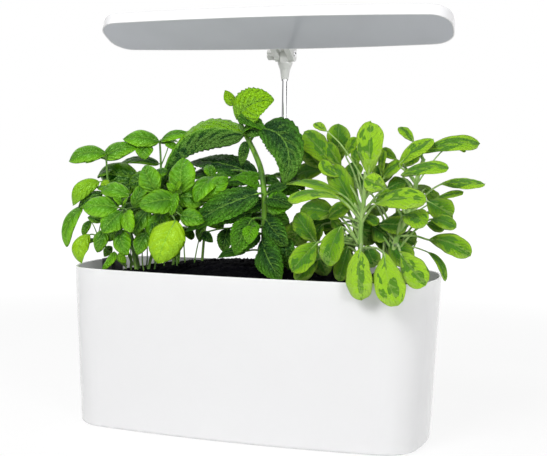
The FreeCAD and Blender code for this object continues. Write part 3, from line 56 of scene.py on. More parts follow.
class Wiring:
    """Short ways to add and join the nodes of one material or of the world."""

    def __init__(self, tree: bpy.types.NodeTree) -> None:
        """Empty the given tree and keep it, to be filled."""
        self.tree = tree
        tree.nodes.clear()

    def add(self, kind: str, **values: object) -> bpy.types.Node:
        """Add a node and set its inputs by name or its properties.

        Args:
            kind: The node's type without its ShaderNode prefix.
            values: Properties of the node, or inputs with spaces written as underscores.

        Returns:
            The new node.
        """
        node = self.tree.nodes.new(f"ShaderNode{kind}")
        for key, value in values.items():
            if hasattr(node, key):
                setattr(node, key, value)
                continue
            self.feed(node.inputs[key.replace("_", " ")], value)
        return node

    def feed(self, socket: bpy.types.NodeSocket, value: object) -> None:
        """Link a socket or set its plain value.

        Args:
            socket: The input to feed.
            value: A socket to link, or the value to set.
        """
        if isinstance(value, bpy.types.NodeSocket):
            self.tree.links.new(value, socket)
        elif isinstance(value, tuple) and len(value) == 3 and socket.type == "RGBA":
            socket.default_value = (*value, 1.0)
        else:
            socket.default_value = value

    def maths(self, operation: str, *values: object, clamp: bool = False) -> bpy.types.NodeSocket:
        """Add a Math node.

        Args:
            operation: The node's operation, such as ADD.
            values: Its inputs in order, as sockets or numbers.
            clamp: Whether the result is held between 0 and 1.

        Returns:
            The result's socket.
        """
        node = self.add("Math", operation=operation, use_clamp=clamp)
        for socket, value in zip(node.inputs, values):
            self.feed(socket, value)
        return node.outputs[0]

    def blend(self, factor: object, first: object, second: object,
              kind: str = "MIX") -> bpy.types.NodeSocket:
        """Mix two colours.

        Args:
            factor: How much of the second colour shows.
            first: A colour or its socket.
            second: A colour or its socket.
            kind: The blend type.

        Returns:
            The mixed colour's socket.
        """
        node = self.add("Mix", data_type="RGBA", blend_type=kind)
        for socket, value in zip((node.inputs[0], node.inputs[6], node.inputs[7]), (factor, first, second)):
            self.feed(socket, value)
        return node.outputs[2]

    def step(self, value: object, low: float, high: float, start: float = 0.0,
             end: float = 1.0) -> bpy.types.NodeSocket:
        """Map a value smoothly from one range to another.

        Args:
            value: A number or its socket.
            low: Where the input's range starts.
            high: Where it ends.
            start: The result at and before the range's start.
            end: The result at and after its end.

        Returns:
            The result's socket.
        """
        node = self.add("MapRange", interpolation_type="SMOOTHSTEP")
        for socket, entry in zip(node.inputs, (value, low, high, start, end)):
            self.feed(socket, entry)
        return node.outputs[0]

    def grain(self, scale: float, detail: float = 3.0, stretch: Point = (1, 1, 1)) -> bpy.types.NodeSocket:
        """Add noise on the piece's own object coordinates.

        Args:
            scale: Lumps per metre.
            detail: Octaves of finer noise.
            stretch: How the pattern is squeezed along each axis.

        Returns:
            The noise value's socket.
        """
        place = self.add("TexCoord").outputs["Object"]
        if stretch != (1, 1, 1):
            place = self.add("Mapping", Vector=place, Scale=stretch).outputs[0]
        return self.add("TexNoise", Vector=place, Scale=scale, Detail=detail).outputs[0]

    def cells(self, scale: float) -> bpy.types.NodeSocket:
        """Give the distance from the lines of a net of cells, so many to a metre, in cells."""
        place = self.add("TexCoord").outputs["Object"]
        return self.add("TexVoronoi", feature="DISTANCE_TO_EDGE", Vector=place, Scale=scale).outputs[0]


def new_wiring(name: str) -> tuple[bpy.types.Material, Wiring]:
    """Make a node material and give its wiring.

    Args:
        name: The material's name.

    Returns:
        The material and its empty wiring.
    """
    material = bpy.data.materials.new(name)
    material.use_nodes = True
    return material, Wiring(material.node_tree)


def close_surface(wires: Wiring, **values: object) -> bpy.types.Node:
    """Add the surface shader and the output it feeds.

    Args:
        wires: The material's wiring.
        values: The shader's inputs.

    Returns:
        The shader node.
    """
    shader = wires.add("BsdfPrincipled", **values)
    wires.add("OutputMaterial", Surface=shader.outputs[0])
    return shader


@dataclass(frozen=True)
class Finish:
    """A plain surface with fine grain, soft stains and a little relief."""

    name: str
    colour: Colour
    roughness: float
    metallic: float = 0.0
    coat: float = 0.0
    grain_scale: float = 900.0
    grain_depth: float = 0.00002
    mottle: float = 0.04
    stretch: Point = (1, 1, 1)
    milky: float = 0.0
    stain_scale: float = 14.0
    stain_range: tuple[float, float] = (0.3, 0.7)
    fine_range: tuple[float, float] = (0.2, 0.8)
    rough_shares: tuple[float, float] = (0.85, 1.15)
    relief: float = 0.6
    coat_roughness: float = 0.05
    milk_reach: float = 0.015

    def material(self) -> bpy.types.Material:
        """Build the finish's node material, milky where thin plastic lets light through.

        Returns:
            The material.
        """
        material, wires = new_wiring(self.name)
        broad = wires.grain(self.stain_scale, 2.0)
        fine = wires.grain(self.grain_scale, 4.0, self.stretch)
        darker = tuple(channel * (1 - self.mottle) for channel in self.colour)
        colour = wires.blend(wires.step(broad, *self.stain_range), self.colour, darker)
        smoother, rougher = (self.roughness * share for share in self.rough_shares)
        rough = wires.step(fine, *self.fine_range, smoother, rougher)
        bump = wires.add("Bump", Height=fine, Distance=self.grain_depth, Strength=self.relief)
        close_surface(
            wires, Base_Color=colour, Roughness=rough, Metallic=self.metallic, Coat_Weight=self.coat,
            Coat_Roughness=self.coat_roughness, Normal=bump.outputs[0], Subsurface_Weight=self.milky,
            Subsurface_Scale=self.milk_reach, Subsurface_Radius=(1.0, 1.0, 1.0),
        )
        return material


@dataclass(frozen=True)
class LeafFinish:
    """A leaf's surface: midrib, side veins, patches and a mix of light and dark greens.

    What ends in show says how strongly a marking is seen, from 0 to 1. Depths are in metres.
    """

    name: str
    dark: Colour
    light: Colour
    bright: Colour
    vein: Colour
    rim: Colour
    patch: Colour = (0.0, 0.0, 0.0)
    vein_count: float = 7.0
    vein_slant: float = 0.5
    vein_show: float = 0.3
    midrib_show: float = 0.6
    patch_show: float = 0.0
    rim_show: float = 0.0
    # Painted shade in the grooves of the net of pebbles.
    shaded_net_show: float = 0.3
    paler_edge: float = 0.4
    paler_tip: float = 0.25
    pebble_scale: float = 500.0
    pebble_depth: float = 0.0003
    vein_depth: float = 0.0006
    groove_width: float = 0.45
    roughness: float = 0.42
    gloss: float = 0.25
    sheen: float = 0.0
    glint: Colour = (0.55, 1.0, 0.3)
    stain_scale: float = 45.0
    stain_depth: float = 0.6
    # Painted shade in the side veins' creases, with painted light on the bulges between them.
    crease_shade: float = 0.08
    patch_scale: float = 1.7
    patch_stretch: Point = (1.0, 1.7, 17.0)
    patch_level: float = 0.6
    patch_thinning: tuple[float, float] = (0.36, 0.3)
    patch_middle: float = 0.55
    patch_noise: float = 1.5
    patch_detail: float = 2.5
    patch_blur: float = 0.04
    paler_from: float = 0.4
    bright_range: tuple[float, float] = (0.7, 1.0)
    rim_range: tuple[float, float] = (0.45, 1.0)
    relief_strength: float = 0.8
    vein_curve: float = 1.4
    vein_lean: float = 0.35
    vein_range: tuple[float, float] = (0.2, 0.0)
    vein_fade: tuple[float, float] = (1.0, 0.8)
    midrib_range: tuple[float, float] = (0.07, 0.015)
    pebble_edge: float = 0.3

    def patches(self, wires: Wiring, blade: bpy.types.NodeSocket) -> bpy.types.NodeSocket:
        """Say where the darker patches lie: long ones, thinning out to the edges and to both ends.

        Args:
            wires: The material's wiring.
            blade: The blade's own coordinates.

        Returns:
            A mask with hard edges.
        """
        outward, onward = self.patch_thinning
        spot = wires.add("Mapping", Vector=blade, Scale=self.patch_stretch).outputs[0]
        noise_node = wires.add("TexNoise", Vector=spot, Scale=self.patch_scale, Detail=self.patch_detail)
        across, share, _ = wires.add("SeparateXYZ", Vector=blade).outputs
        from_middle = wires.maths("ABSOLUTE", wires.maths("SUBTRACT", share, self.patch_middle))
        total = wires.maths("MULTIPLY", noise_node.outputs[0], self.patch_noise)
        total = wires.maths("ADD", total, wires.maths("MULTIPLY", wires.maths("ABSOLUTE", across), -outward))
        total = wires.maths("ADD", total, wires.maths("MULTIPLY", from_middle, -onward))
        sharp_end = self.patch_level + self.patch_blur
        return wires.step(total, self.patch_level, sharp_end, 0.0, self.patch_show)

    def greens(self, wires: Wiring, side: object, share: object, tone: object,
               wave: object) -> bpy.types.NodeSocket:
        """Mix the leaf's greens: lighter outward and to the tip, with broad soft stains.

        Args:
            wires: The material's wiring.
            side: The distance from the midrib, 1 at the edge.
            share: The share of the blade's length.
            tone: The leaf's lightness, partly its own and partly painted light and shade.
            wave: The wave between the side veins.

        Returns:
            The colour's socket.
        """
        stains = wires.maths("SUBTRACT", wires.grain(self.stain_scale, 3.0), 0.5)
        spread = wires.maths("MULTIPLY", stains, self.stain_depth)
        # Painted shade and light: darker along the side veins, lighter on the bulges between them.
        crease_shade = wires.maths("MULTIPLY", wires.maths("SUBTRACT", wave, 0.5), self.crease_shade)
        outward = wires.maths("MULTIPLY", wires.maths("SUBTRACT", side, self.paler_from), self.paler_edge)
        onward = wires.maths("MULTIPLY", wires.maths("SUBTRACT", share, 0.5), self.paler_tip)
        mixed = tone
        for part in (spread, crease_shade, outward, onward):
            mixed = wires.maths("ADD", mixed, part)
        mixed = wires.maths("MAXIMUM", 0.0, mixed, clamp=True)
        colour = wires.blend(mixed, self.dark, self.light)
        # Leaves of high lightness take the bright green, partly their own colour and partly painted light.
        colour = wires.blend(wires.step(tone, *self.bright_range), colour, self.bright)
        return wires.blend(wires.step(side, *self.rim_range, 0.0, self.rim_show), colour, self.rim)

    def relief(self, wires: Wiring, pebbles: object, wave: object, midrib: object) -> bpy.types.NodeSocket:
        """Raise the pebbles and sink the veins.

        Args:
            wires: The material's wiring.
            pebbles: The net of small cells.
            wave: The wave between the side veins.
            midrib: The midrib's mask.

        Returns:
            The bent normal's socket.
        """
        strength = self.relief_strength
        small = wires.add("Bump", Height=pebbles, Distance=self.pebble_depth, Strength=strength)
        grooves = wires.maths("MAXIMUM", wires.step(wave, self.groove_width, 0.0), midrib)
        return wires.add(
            "Bump", Height=grooves, Distance=self.vein_depth, Strength=strength, invert=True,
            Normal=small.outputs[0],
        ).outputs[0]

    def material(self, pale: float = 0.0) -> bpy.types.Material:
        """Build the leaf's node material.

        Args:
            pale: How far the greens fade, as on a leaf's underside.

        Returns:
            The material.
        """
        material, wires = new_wiring(self.name if pale == 0.0 else f"{self.name}_under")
        blade = wires.add("Attribute", attribute_name="blade").outputs["Vector"]
        across, share, tone = wires.add("SeparateXYZ", Vector=blade).outputs
        side = wires.maths("ABSOLUTE", across)
        curve = wires.maths("POWER", side, self.vein_curve)
        slant = wires.maths("MULTIPLY", curve, self.vein_slant * self.vein_lean)
        rise = wires.maths("SUBTRACT", share, slant)
        wave = wires.maths("PINGPONG", wires.maths("MULTIPLY", rise, self.vein_count * 2), 1.0)
        lines, fade = wires.step(wave, *self.vein_range), wires.step(side, *self.vein_fade)
        veins = wires.maths("MULTIPLY", lines, fade)
        midrib = wires.step(side, *self.midrib_range)
        pebbles = wires.step(wires.cells(self.pebble_scale), 0.0, self.pebble_edge)
        colour = self.greens(wires, side, share, tone, wave)
        # Painted shade: the dark green fills the grooves between the raised pebbles.
        colour = wires.blend(wires.step(pebbles, 0.5, 0.0, 0.0, self.shaded_net_show), colour, self.dark)
        if self.patch_show > 0:
            colour = wires.blend(self.patches(wires, blade), colour, self.patch)
        colour = wires.blend(wires.maths("MULTIPLY", veins, self.vein_show), colour, self.vein)
        colour = wires.blend(wires.maths("MULTIPLY", midrib, self.midrib_show), colour, self.vein)
        if pale > 0:
            colour = wires.blend(pale, colour, self.vein)
        close_surface(
            wires, Base_Color=colour, Roughness=self.roughness, Sheen_Weight=self.sheen,
            Normal=self.relief(wires, pebbles, wave, midrib), Specular_IOR_Level=self.gloss,
            Specular_Tint=self.glint,
        )
        return material


@dataclass(frozen=True)
class StemFinish:
    """A stem or stalk: greens in long streaks with fine hairs."""

    name: str
    dark: Colour
    light: Colour
    sheen: float = 0.2
    streak_scale: float = 260.0
    streak_stretch: Point = (1.0, 1.0, 0.15)
    streak_range: tuple[float, float] = (0.3, 0.7)
    streak_depth: float = 0.0003
    roughness: float = 0.5
    gloss: float = 0.25

    def material(self) -> bpy.types.Material:
        """Build the stem's node material.

        Returns:
            The material.
        """
        material, wires = new_wiring(self.name)
        streaks = wires.grain(self.streak_scale, 3.0, self.streak_stretch)
        colour = wires.blend(wires.step(streaks, *self.streak_range), self.dark, self.light)
        bump = wires.add("Bump", Height=streaks, Distance=self.streak_depth, Strength=0.5)
        close_surface(
            wires, Base_Color=colour, Roughness=self.roughness, Sheen_Weight=self.sheen,
            Normal=bump.outputs[0], Specular_IOR_Level=self.gloss,
        )
        return material


@dataclass(frozen=True)
class MediumFinish:
    """Dark moist growing medium with a slight blue tint."""

    name: str = "growing_medium"
    dark: Colour = (0.0004, 0.0004, 0.0012)
    light: Colour = (0.003, 0.0025, 0.006)
    crumb_scale: float = 420.0
    crumb_range: tuple[float, float] = (0.45, 0.75)
    crumb_depth: float = 0.002
    relief: float = 0.9
    roughness: float = 0.85
    gloss: float = 0.05

    def material(self) -> bpy.types.Material:
        """Build the medium's node material.

        Returns:
            The material.
        """
        material, wires = new_wiring(self.name)
        crumbs = wires.grain(self.crumb_scale, 6.0)
        colour = wires.blend(wires.step(crumbs, *self.crumb_range), self.dark, self.light)
        bump = wires.add("Bump", Height=crumbs, Distance=self.crumb_depth, Strength=self.relief)
        close_surface(
            wires, Base_Color=colour, Roughness=self.roughness, Normal=bump.outputs[0],
            Specular_IOR_Level=self.gloss,
        )
        return material


WHITE_GLOSS = Finish(
    "tub_white", (0.93, 0.93, 0.94), 0.16, coat=0.35, mottle=0.01, grain_scale=160.0,
    grain_depth=0.00001, milky=0.35,
)
LAMP_WHITE = Finish(
    "lamp_white", (0.90, 0.90, 0.91), 0.2, coat=0.3, mottle=0.012, grain_scale=200.0, grain_depth=0.00001,
)
JOINT_WHITE = Finish("joint_white", (0.84, 0.85, 0.82), 0.3, coat=0.1, mottle=0.03, grain_scale=500.0)
DIFFUSER = Finish(
    "diffuser_grey", (0.55, 0.57, 0.62), 0.22, coat=0.25, mottle=0.06, grain_scale=1400.0,
    grain_depth=0.00001,
)
CHROME = Finish(
    "mast_chrome", (0.82, 0.82, 0.83), 0.07, metallic=1.0, mottle=0.02, grain_scale=600.0,
    grain_depth=0.000004, stretch=(1, 1, 0.05),
)
STEEL = Finish("bolt_steel", (0.55, 0.55, 0.56), 0.3, metallic=1.0, mottle=0.06)
BRASS = Finish("insert_brass", (0.72, 0.52, 0.25), 0.28, metallic=1.0, mottle=0.08)
TRAY_WHITE = Finish(
    "tray_white", (0.82, 0.82, 0.8), 0.4, mottle=0.03, grain_scale=500.0, grain_depth=0.00003,
)
TRAY_BLACK = Finish(
    "tray_black", (0.012, 0.012, 0.014), 0.45, mottle=0.15, grain_scale=700.0, grain_depth=0.00006,
)
PUMP_BLACK = Finish(
    "pump_black", (0.02, 0.02, 0.022), 0.4, mottle=0.12, grain_scale=800.0, grain_depth=0.00005,
)
RUBBER = Finish("foot_rubber", (0.025, 0.025, 0.026), 0.75, mottle=0.2)
SILICONE = Finish("hose_silicone", (0.62, 0.65, 0.65), 0.45, mottle=0.08)
NYLON = Finish("bush_nylon", (0.75, 0.75, 0.72), 0.42, mottle=0.05)
FLOAT_ORANGE = Finish("float_orange", (0.75, 0.2, 0.04), 0.4, mottle=0.08)
BOARD_WHITE = Finish("board_white", (0.8, 0.8, 0.79), 0.45, mottle=0.04)
DRIVER_GREEN = Finish("driver_green", (0.02, 0.16, 0.07), 0.35, coat=0.2, mottle=0.15)
LED_YELLOW = Finish("led_white", (0.85, 0.75, 0.3), 0.3, mottle=0.06)
LED_RED = Finish("led_red", (0.6, 0.03, 0.03), 0.3, mottle=0.06)

NODE_FINISHES: dict[Finish, tuple[str, ...]] = {
    WHITE_GLOSS: ("tub", "mast_socket"),
    LAMP_WHITE: ("panel_shell", "power_button"),
    JOINT_WHITE: ("neck", "lamp_bracket", "clamp_knob"),
    DIFFUSER: ("diffuser",),
    CHROME: ("lower_tube", "upper_tube", "mast_collar", "pivot_bolt"),
    STEEL: ("pivot_washer", "socket_screws", "board_screws", "bracket_screws", "pump_shaft"),
    BRASS: ("knob_insert", "inlet_pin"),
    TRAY_WHITE: ("grow_tray",),
    TRAY_BLACK: ("fill_column", "float_guide", "power_inlet", "button_switch"),
    PUMP_BLACK: ("pump_body", "pump_cover", "impeller"),
    RUBBER: ("pump_feet",),
    SILICONE: ("riser_hose",),
    NYLON: ("top_bush", "foot_bush"),
    FLOAT_ORANGE: ("level_float",),
    BOARD_WHITE: ("led_board",),
    DRIVER_GREEN: ("driver_board",),
    LED_YELLOW: ("white_leds",),
    LED_RED: ("red_leds",),
}

BASIL_LEAF = LeafFinish(
    "basil_leaf", dark=(0.005, 0.055, 0.002), light=(0.135, 0.43, 0.004), bright=(0.31, 0.55, 0.006),
    vein=(0.24, 0.52, 0.04), rim=(0.3, 0.6, 0.01), vein_count=5.0, vein_slant=0.9, vein_show=0.12,
    midrib_show=0.5, rim_show=0.3, shaded_net_show=0.04, paler_edge=0.6, pebble_scale=330.0,
    vein_depth=0.0009, groove_width=1.0, roughness=0.3, gloss=0.6,
)
MINT_LEAF = LeafFinish(
    "mint_leaf", dark=(0.002, 0.036, 0.007), light=(0.14, 0.46, 0.002), bright=(0.27, 0.55, 0.003),
    vein=(0.22, 0.46, 0.07), rim=(0.1, 0.34, 0.012), vein_slant=1.2, vein_show=0.06, rim_show=0.1,
    shaded_net_show=0.1, pebble_scale=270.0, pebble_depth=0.0012, vein_depth=0.0012, roughness=0.38, gloss=0.5,
)
SAGE_LEAF = LeafFinish(
    "sage_leaf", dark=(0.03, 0.14, 0.006), light=(0.33, 0.69, 0.01), bright=(0.41, 0.74, 0.03),
    vein=(0.45, 0.68, 0.14), rim=(0.5, 0.76, 0.05), patch=(0.06, 0.22, 0.015), vein_count=8.0,
    vein_slant=1.0, vein_show=0.08, midrib_show=0.25, patch_show=0.85, rim_show=0.4, shaded_net_show=0.2,
    pebble_scale=850.0, pebble_depth=0.0006, vein_depth=0.0005, roughness=0.6, gloss=0.3, sheen=0.12,
)
BASIL_STEM = StemFinish("basil_stem", (0.07, 0.2, 0.02), (0.22, 0.4, 0.07))
MINT_STEM = StemFinish("mint_stem", (0.04, 0.13, 0.01), (0.16, 0.36, 0.02))
SAGE_STEM = StemFinish("sage_stem", (0.18, 0.36, 0.06), (0.4, 0.58, 0.18), sheen=0.3)


def dress_nodes() -> None:
    """Give each rigid CAD node its own finish."""
    for finish, names in NODE_FINISHES.items():
        material = finish.material()
        for name in names:
            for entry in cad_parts[name].material_slots:
                entry.material = material
            LOG.info("dressed %s in %s", name, finish.name)


# Meshes


def new_piece(name: str, mesh_maker: bmesh.types.BMesh, materials: Sequence[bpy.types.Material],
              smooth: bool = True) -> bpy.types.Object:
    """Turn a finished bmesh into an object at the origin.

    Args:
        name: The piece's name.
        mesh_maker: The bmesh, in metres in the row's frame. It is freed.
        materials: The piece's materials in slot order.
        smooth: Whether its faces are shaded smooth.

    Returns:
        The new object.
    """
    mesh = bpy.data.meshes.new(name)
    for face in mesh_maker.faces:
        face.smooth = smooth
    mesh_maker.to_mesh(mesh)
    mesh_maker.free()
    for material in materials:
        mesh.materials.append(material)
    piece = bpy.data.objects.new(name, mesh)
    bpy.context.scene.collection.objects.link(piece)
    return piece


@dataclass
class Rod:
    """A round stem or stalk through a few points, with a thickness at each."""

    points: list[Vector]
    radii: list[float]


def add_rods(maker: bmesh.types.BMesh, rods: Iterable[Rod], material_index: int) -> None:
    """Turn rods into smooth tapering tubes and add them to a bmesh.

    Args:
        maker: The bmesh to add to.
        rods: The stems and stalks, in metres.
        material_index: The slot that they take.
    """
    curve = bpy.data.curves.new("rods", "CURVE")
    curve.dimensions = "3D"
    curve.bevel_depth = 1.0
    curve.bevel_resolution = 2
    curve.resolution_u = 4
    curve.use_fill_caps = True
    for rod in rods:
        spline = curve.splines.new("NURBS")
        spline.points.add(len(rod.points) - 1)
        for place, spot, radius in zip(spline.points, rod.points, rod.radii):
            place.co = (*spot, 1.0)
            place.radius = radius
        spline.order_u = 3
        spline.use_endpoint_u = True
    holder = bpy.data.objects.new("rods", curve)
    bpy.context.scene.collection.objects.link(holder)
    graph = bpy.context.evaluated_depsgraph_get()
    mesh = bpy.data.meshes.new_from_object(holder.evaluated_get(graph))
    known = set(maker.faces)
    maker.from_mesh(mesh)
    for face in maker.faces:
        if face not in known:
            face.material_index = material_index
    bpy.data.objects.remove(holder)
    bpy.data.curves.remove(curve)
    bpy.data.meshes.remove(mesh)


# Plants


class Margin(Enum):
    """How a leaf's edge runs."""

    WAVED = 0.03
    TOOTHED = 0.055


@dataclass(frozen=True)
class LeafForm:
    """The shape that all leaves of one plant share.

    The two powers shape the outline's ends, and arch bends the midrib, in radians. Fold, curl, ripple,
    quilt and rib_depth raise the blade by shares of its half width. Crinkle and thickness are in
    millimetres, and across and along count the blade's squares.
    """

    base_power: float
    tip_power: float
    margin: Margin
    tooth_count: int = 9
    arch: float = 0.5
    fold: float = 0.25
    curl: float = 0.3
    ripple: float = 0.08
    quilt: float = 0.012
    quilt_count: float = 6.0
    quilt_slant: float = 0.9
    crinkle: float = 0.0
    crinkle_scale: float = 220.0
    thickness: float = 0.5
    across: int = 12
    along: int = 18
    ripple_turn: float = 5.0
    ripple_skew: float = 2.0
    rib_depth: float = 0.05
    rib_width: float = 0.1
    least_width: float = 0.012

    def half_width(self, share: float) -> float:
        """Give the outline's half width, 1 at its widest.

        Args:
            share: The share of the blade's length, from 0 at the base to 1 at the tip.

        Returns:
            The half width, never quite 0.
        """
        a, b = self.base_power, self.tip_power
        peak = a / (a + b)
        top = peak**a * (1 - peak) ** b
        share = min(max(share, 0.0), 1.0)
        return max(share**a * (1 - share) ** b / top, self.least_width)


@dataclass(frozen=True)
class Leaf:
    """One leaf in millimetres: where its blade starts and ends, its width and how it is held.

    Facing 0 turns the upper side up and 1 to the front. Sweep bends the midrib sideways, by a share
    of its length. A fold above 0 makes a trough and below 0 a roof. Shade darkens one half.
    """

    base: Point
    tip: Point
    width: float
    facing: float
    tone: float
    sweep: float = 0.0
    fold: float = 0.0
    shade: float = 0.0


def leaves_from(*rows: tuple) -> tuple[Leaf, ...]:
    """Make leaves from rows of their values.

    Args:
        rows: Each leaf's base, tip, width, facing and tone, and any further values.

    Returns:
        The leaves in order.
    """
    return tuple(Leaf(*row) for row in rows)


BASIL_FORM = LeafForm(
    0.55, 0.68, Margin.WAVED, tooth_count=2, arch=0.6, fold=0.42, curl=0.6, ripple=0.1, quilt=0.036,
    across=16, along=32,
)
MINT_FORM = LeafForm(
    0.48, 0.8, Margin.TOOTHED, tooth_count=13, arch=0.5, fold=0.3, curl=0.3, ripple=0.12, quilt=0.035,
    quilt_count=7.0, crinkle=1.2, crinkle_scale=200.0, across=22, along=48,
)
SAGE_FORM = LeafForm(
    0.85, 0.5, Margin.WAVED, tooth_count=3, arch=0.5, fold=0.36, curl=0.45, ripple=0.16, quilt=0.012,
    crinkle=0.8, crinkle_scale=260.0, across=14, along=28,
)


@dataclass
class BladeFrame:
    """Where points of one blade lie: a bent line from base to tip with a side and an upper direction."""

    leaf: Leaf
    form: LeafForm
    origin: Vector
    bend: float
    twist: float = 0.0
    tooth_shift: float = 6.0
    wave_shift: float = 9.0
    lump_shift: float = 50.0
    quilt_lean: float = 0.35
    edge_calm: float = 0.6
    along: Vector = field(init=False)
    out: Vector = field(init=False)
    side: Vector = field(init=False)
    chord: float = field(init=False)

    def __post_init__(self) -> None:
        """Work out the blade's directions from its base, tip and facing."""
        run = (Vector(self.leaf.tip) - Vector(self.leaf.base)) * MM
        self.chord = run.length
        self.along = run.normalized()
        facing = self.leaf.facing
        wish = Vector((0, -facing, 1 - abs(facing)))
        out = (wish - self.along * wish.dot(self.along)).normalized()
        self.out = Matrix.Rotation(self.twist, 3, self.along) @ out
        self.side = self.out.cross(self.along)

    def middle(self, share: float) -> tuple[Vector, Vector, Vector]:
        """Give a point of the midrib and two directions there.

        Args:
            share: How far along the blade, from 0 to 1.

        Returns:
            The point in metres, the upper direction and the direction to the side.
        """
        turn = self.bend * (1 - 2 * share)
        scale = self.chord / (2 * math.sin(self.bend))
        forward = (math.sin(self.bend) - math.sin(turn)) * scale
        up = (math.cos(turn) - math.cos(self.bend)) * scale
        normal = self.out * math.cos(turn) - self.along * math.sin(turn)
        heading = self.along * math.cos(turn) + self.out * math.sin(turn)
        swing = 4 * self.leaf.sweep
        point = self.origin + Vector(self.leaf.base) * MM + self.along * forward + self.out * up
        point += self.side * (swing * share * (1 - share) * self.chord)
        return point, normal, (self.side - heading * (swing * (1 - 2 * share))).normalized()

    def place(self, across: float, share: float, luck: float) -> Vector:
        """Give a point of the blade's surface.

        Args:
            across: From -1 at one edge to 1 at the other.
            share: From 0 at the base to 1 at the tip.
            luck: The leaf's own random number, which shifts its waves.

        Returns:
            The point in metres.
        """
        form, width = self.form, self.leaf.width * MM / 2
        spot, normal, side = self.middle(share)
        reach = form.half_width(share)
        edge = abs(across)
        teeth = math.sin(form.tooth_count * 2 * math.pi * share + luck * self.tooth_shift)
        if form.margin is Margin.TOOTHED:
            teeth = 1 - 2 * ((form.tooth_count * share) % 1.0)
        flare = 1 + form.margin.value * teeth * edge**4
        rise = ((form.fold + self.leaf.fold) * edge - form.curl * edge**2) * reach
        wave = form.ripple_turn * share + luck * self.wave_shift + across * form.ripple_skew
        rise += form.ripple * edge**2 * math.sin(wave)
        slant = form.quilt_slant * self.quilt_lean * edge
        lines = math.sin(math.pi * (form.quilt_count * (share - slant))) ** 2
        rise += form.quilt * 2 * lines * (1 - edge**2) * reach
        rise -= form.rib_depth * math.exp(-((across / form.rib_width) ** 2)) * (1 - share)
        point = spot + side * (across * width * reach * flare) + normal * (rise * width)
        if form.crinkle > 0:
            lump = noise.noise(point * form.crinkle_scale + Vector((luck * self.lump_shift, 0, 0)))
            calm = 1 - self.edge_calm * edge**4
            point += normal * (lump * form.crinkle * MM * min(1.0, reach * 2) * calm)
        return point


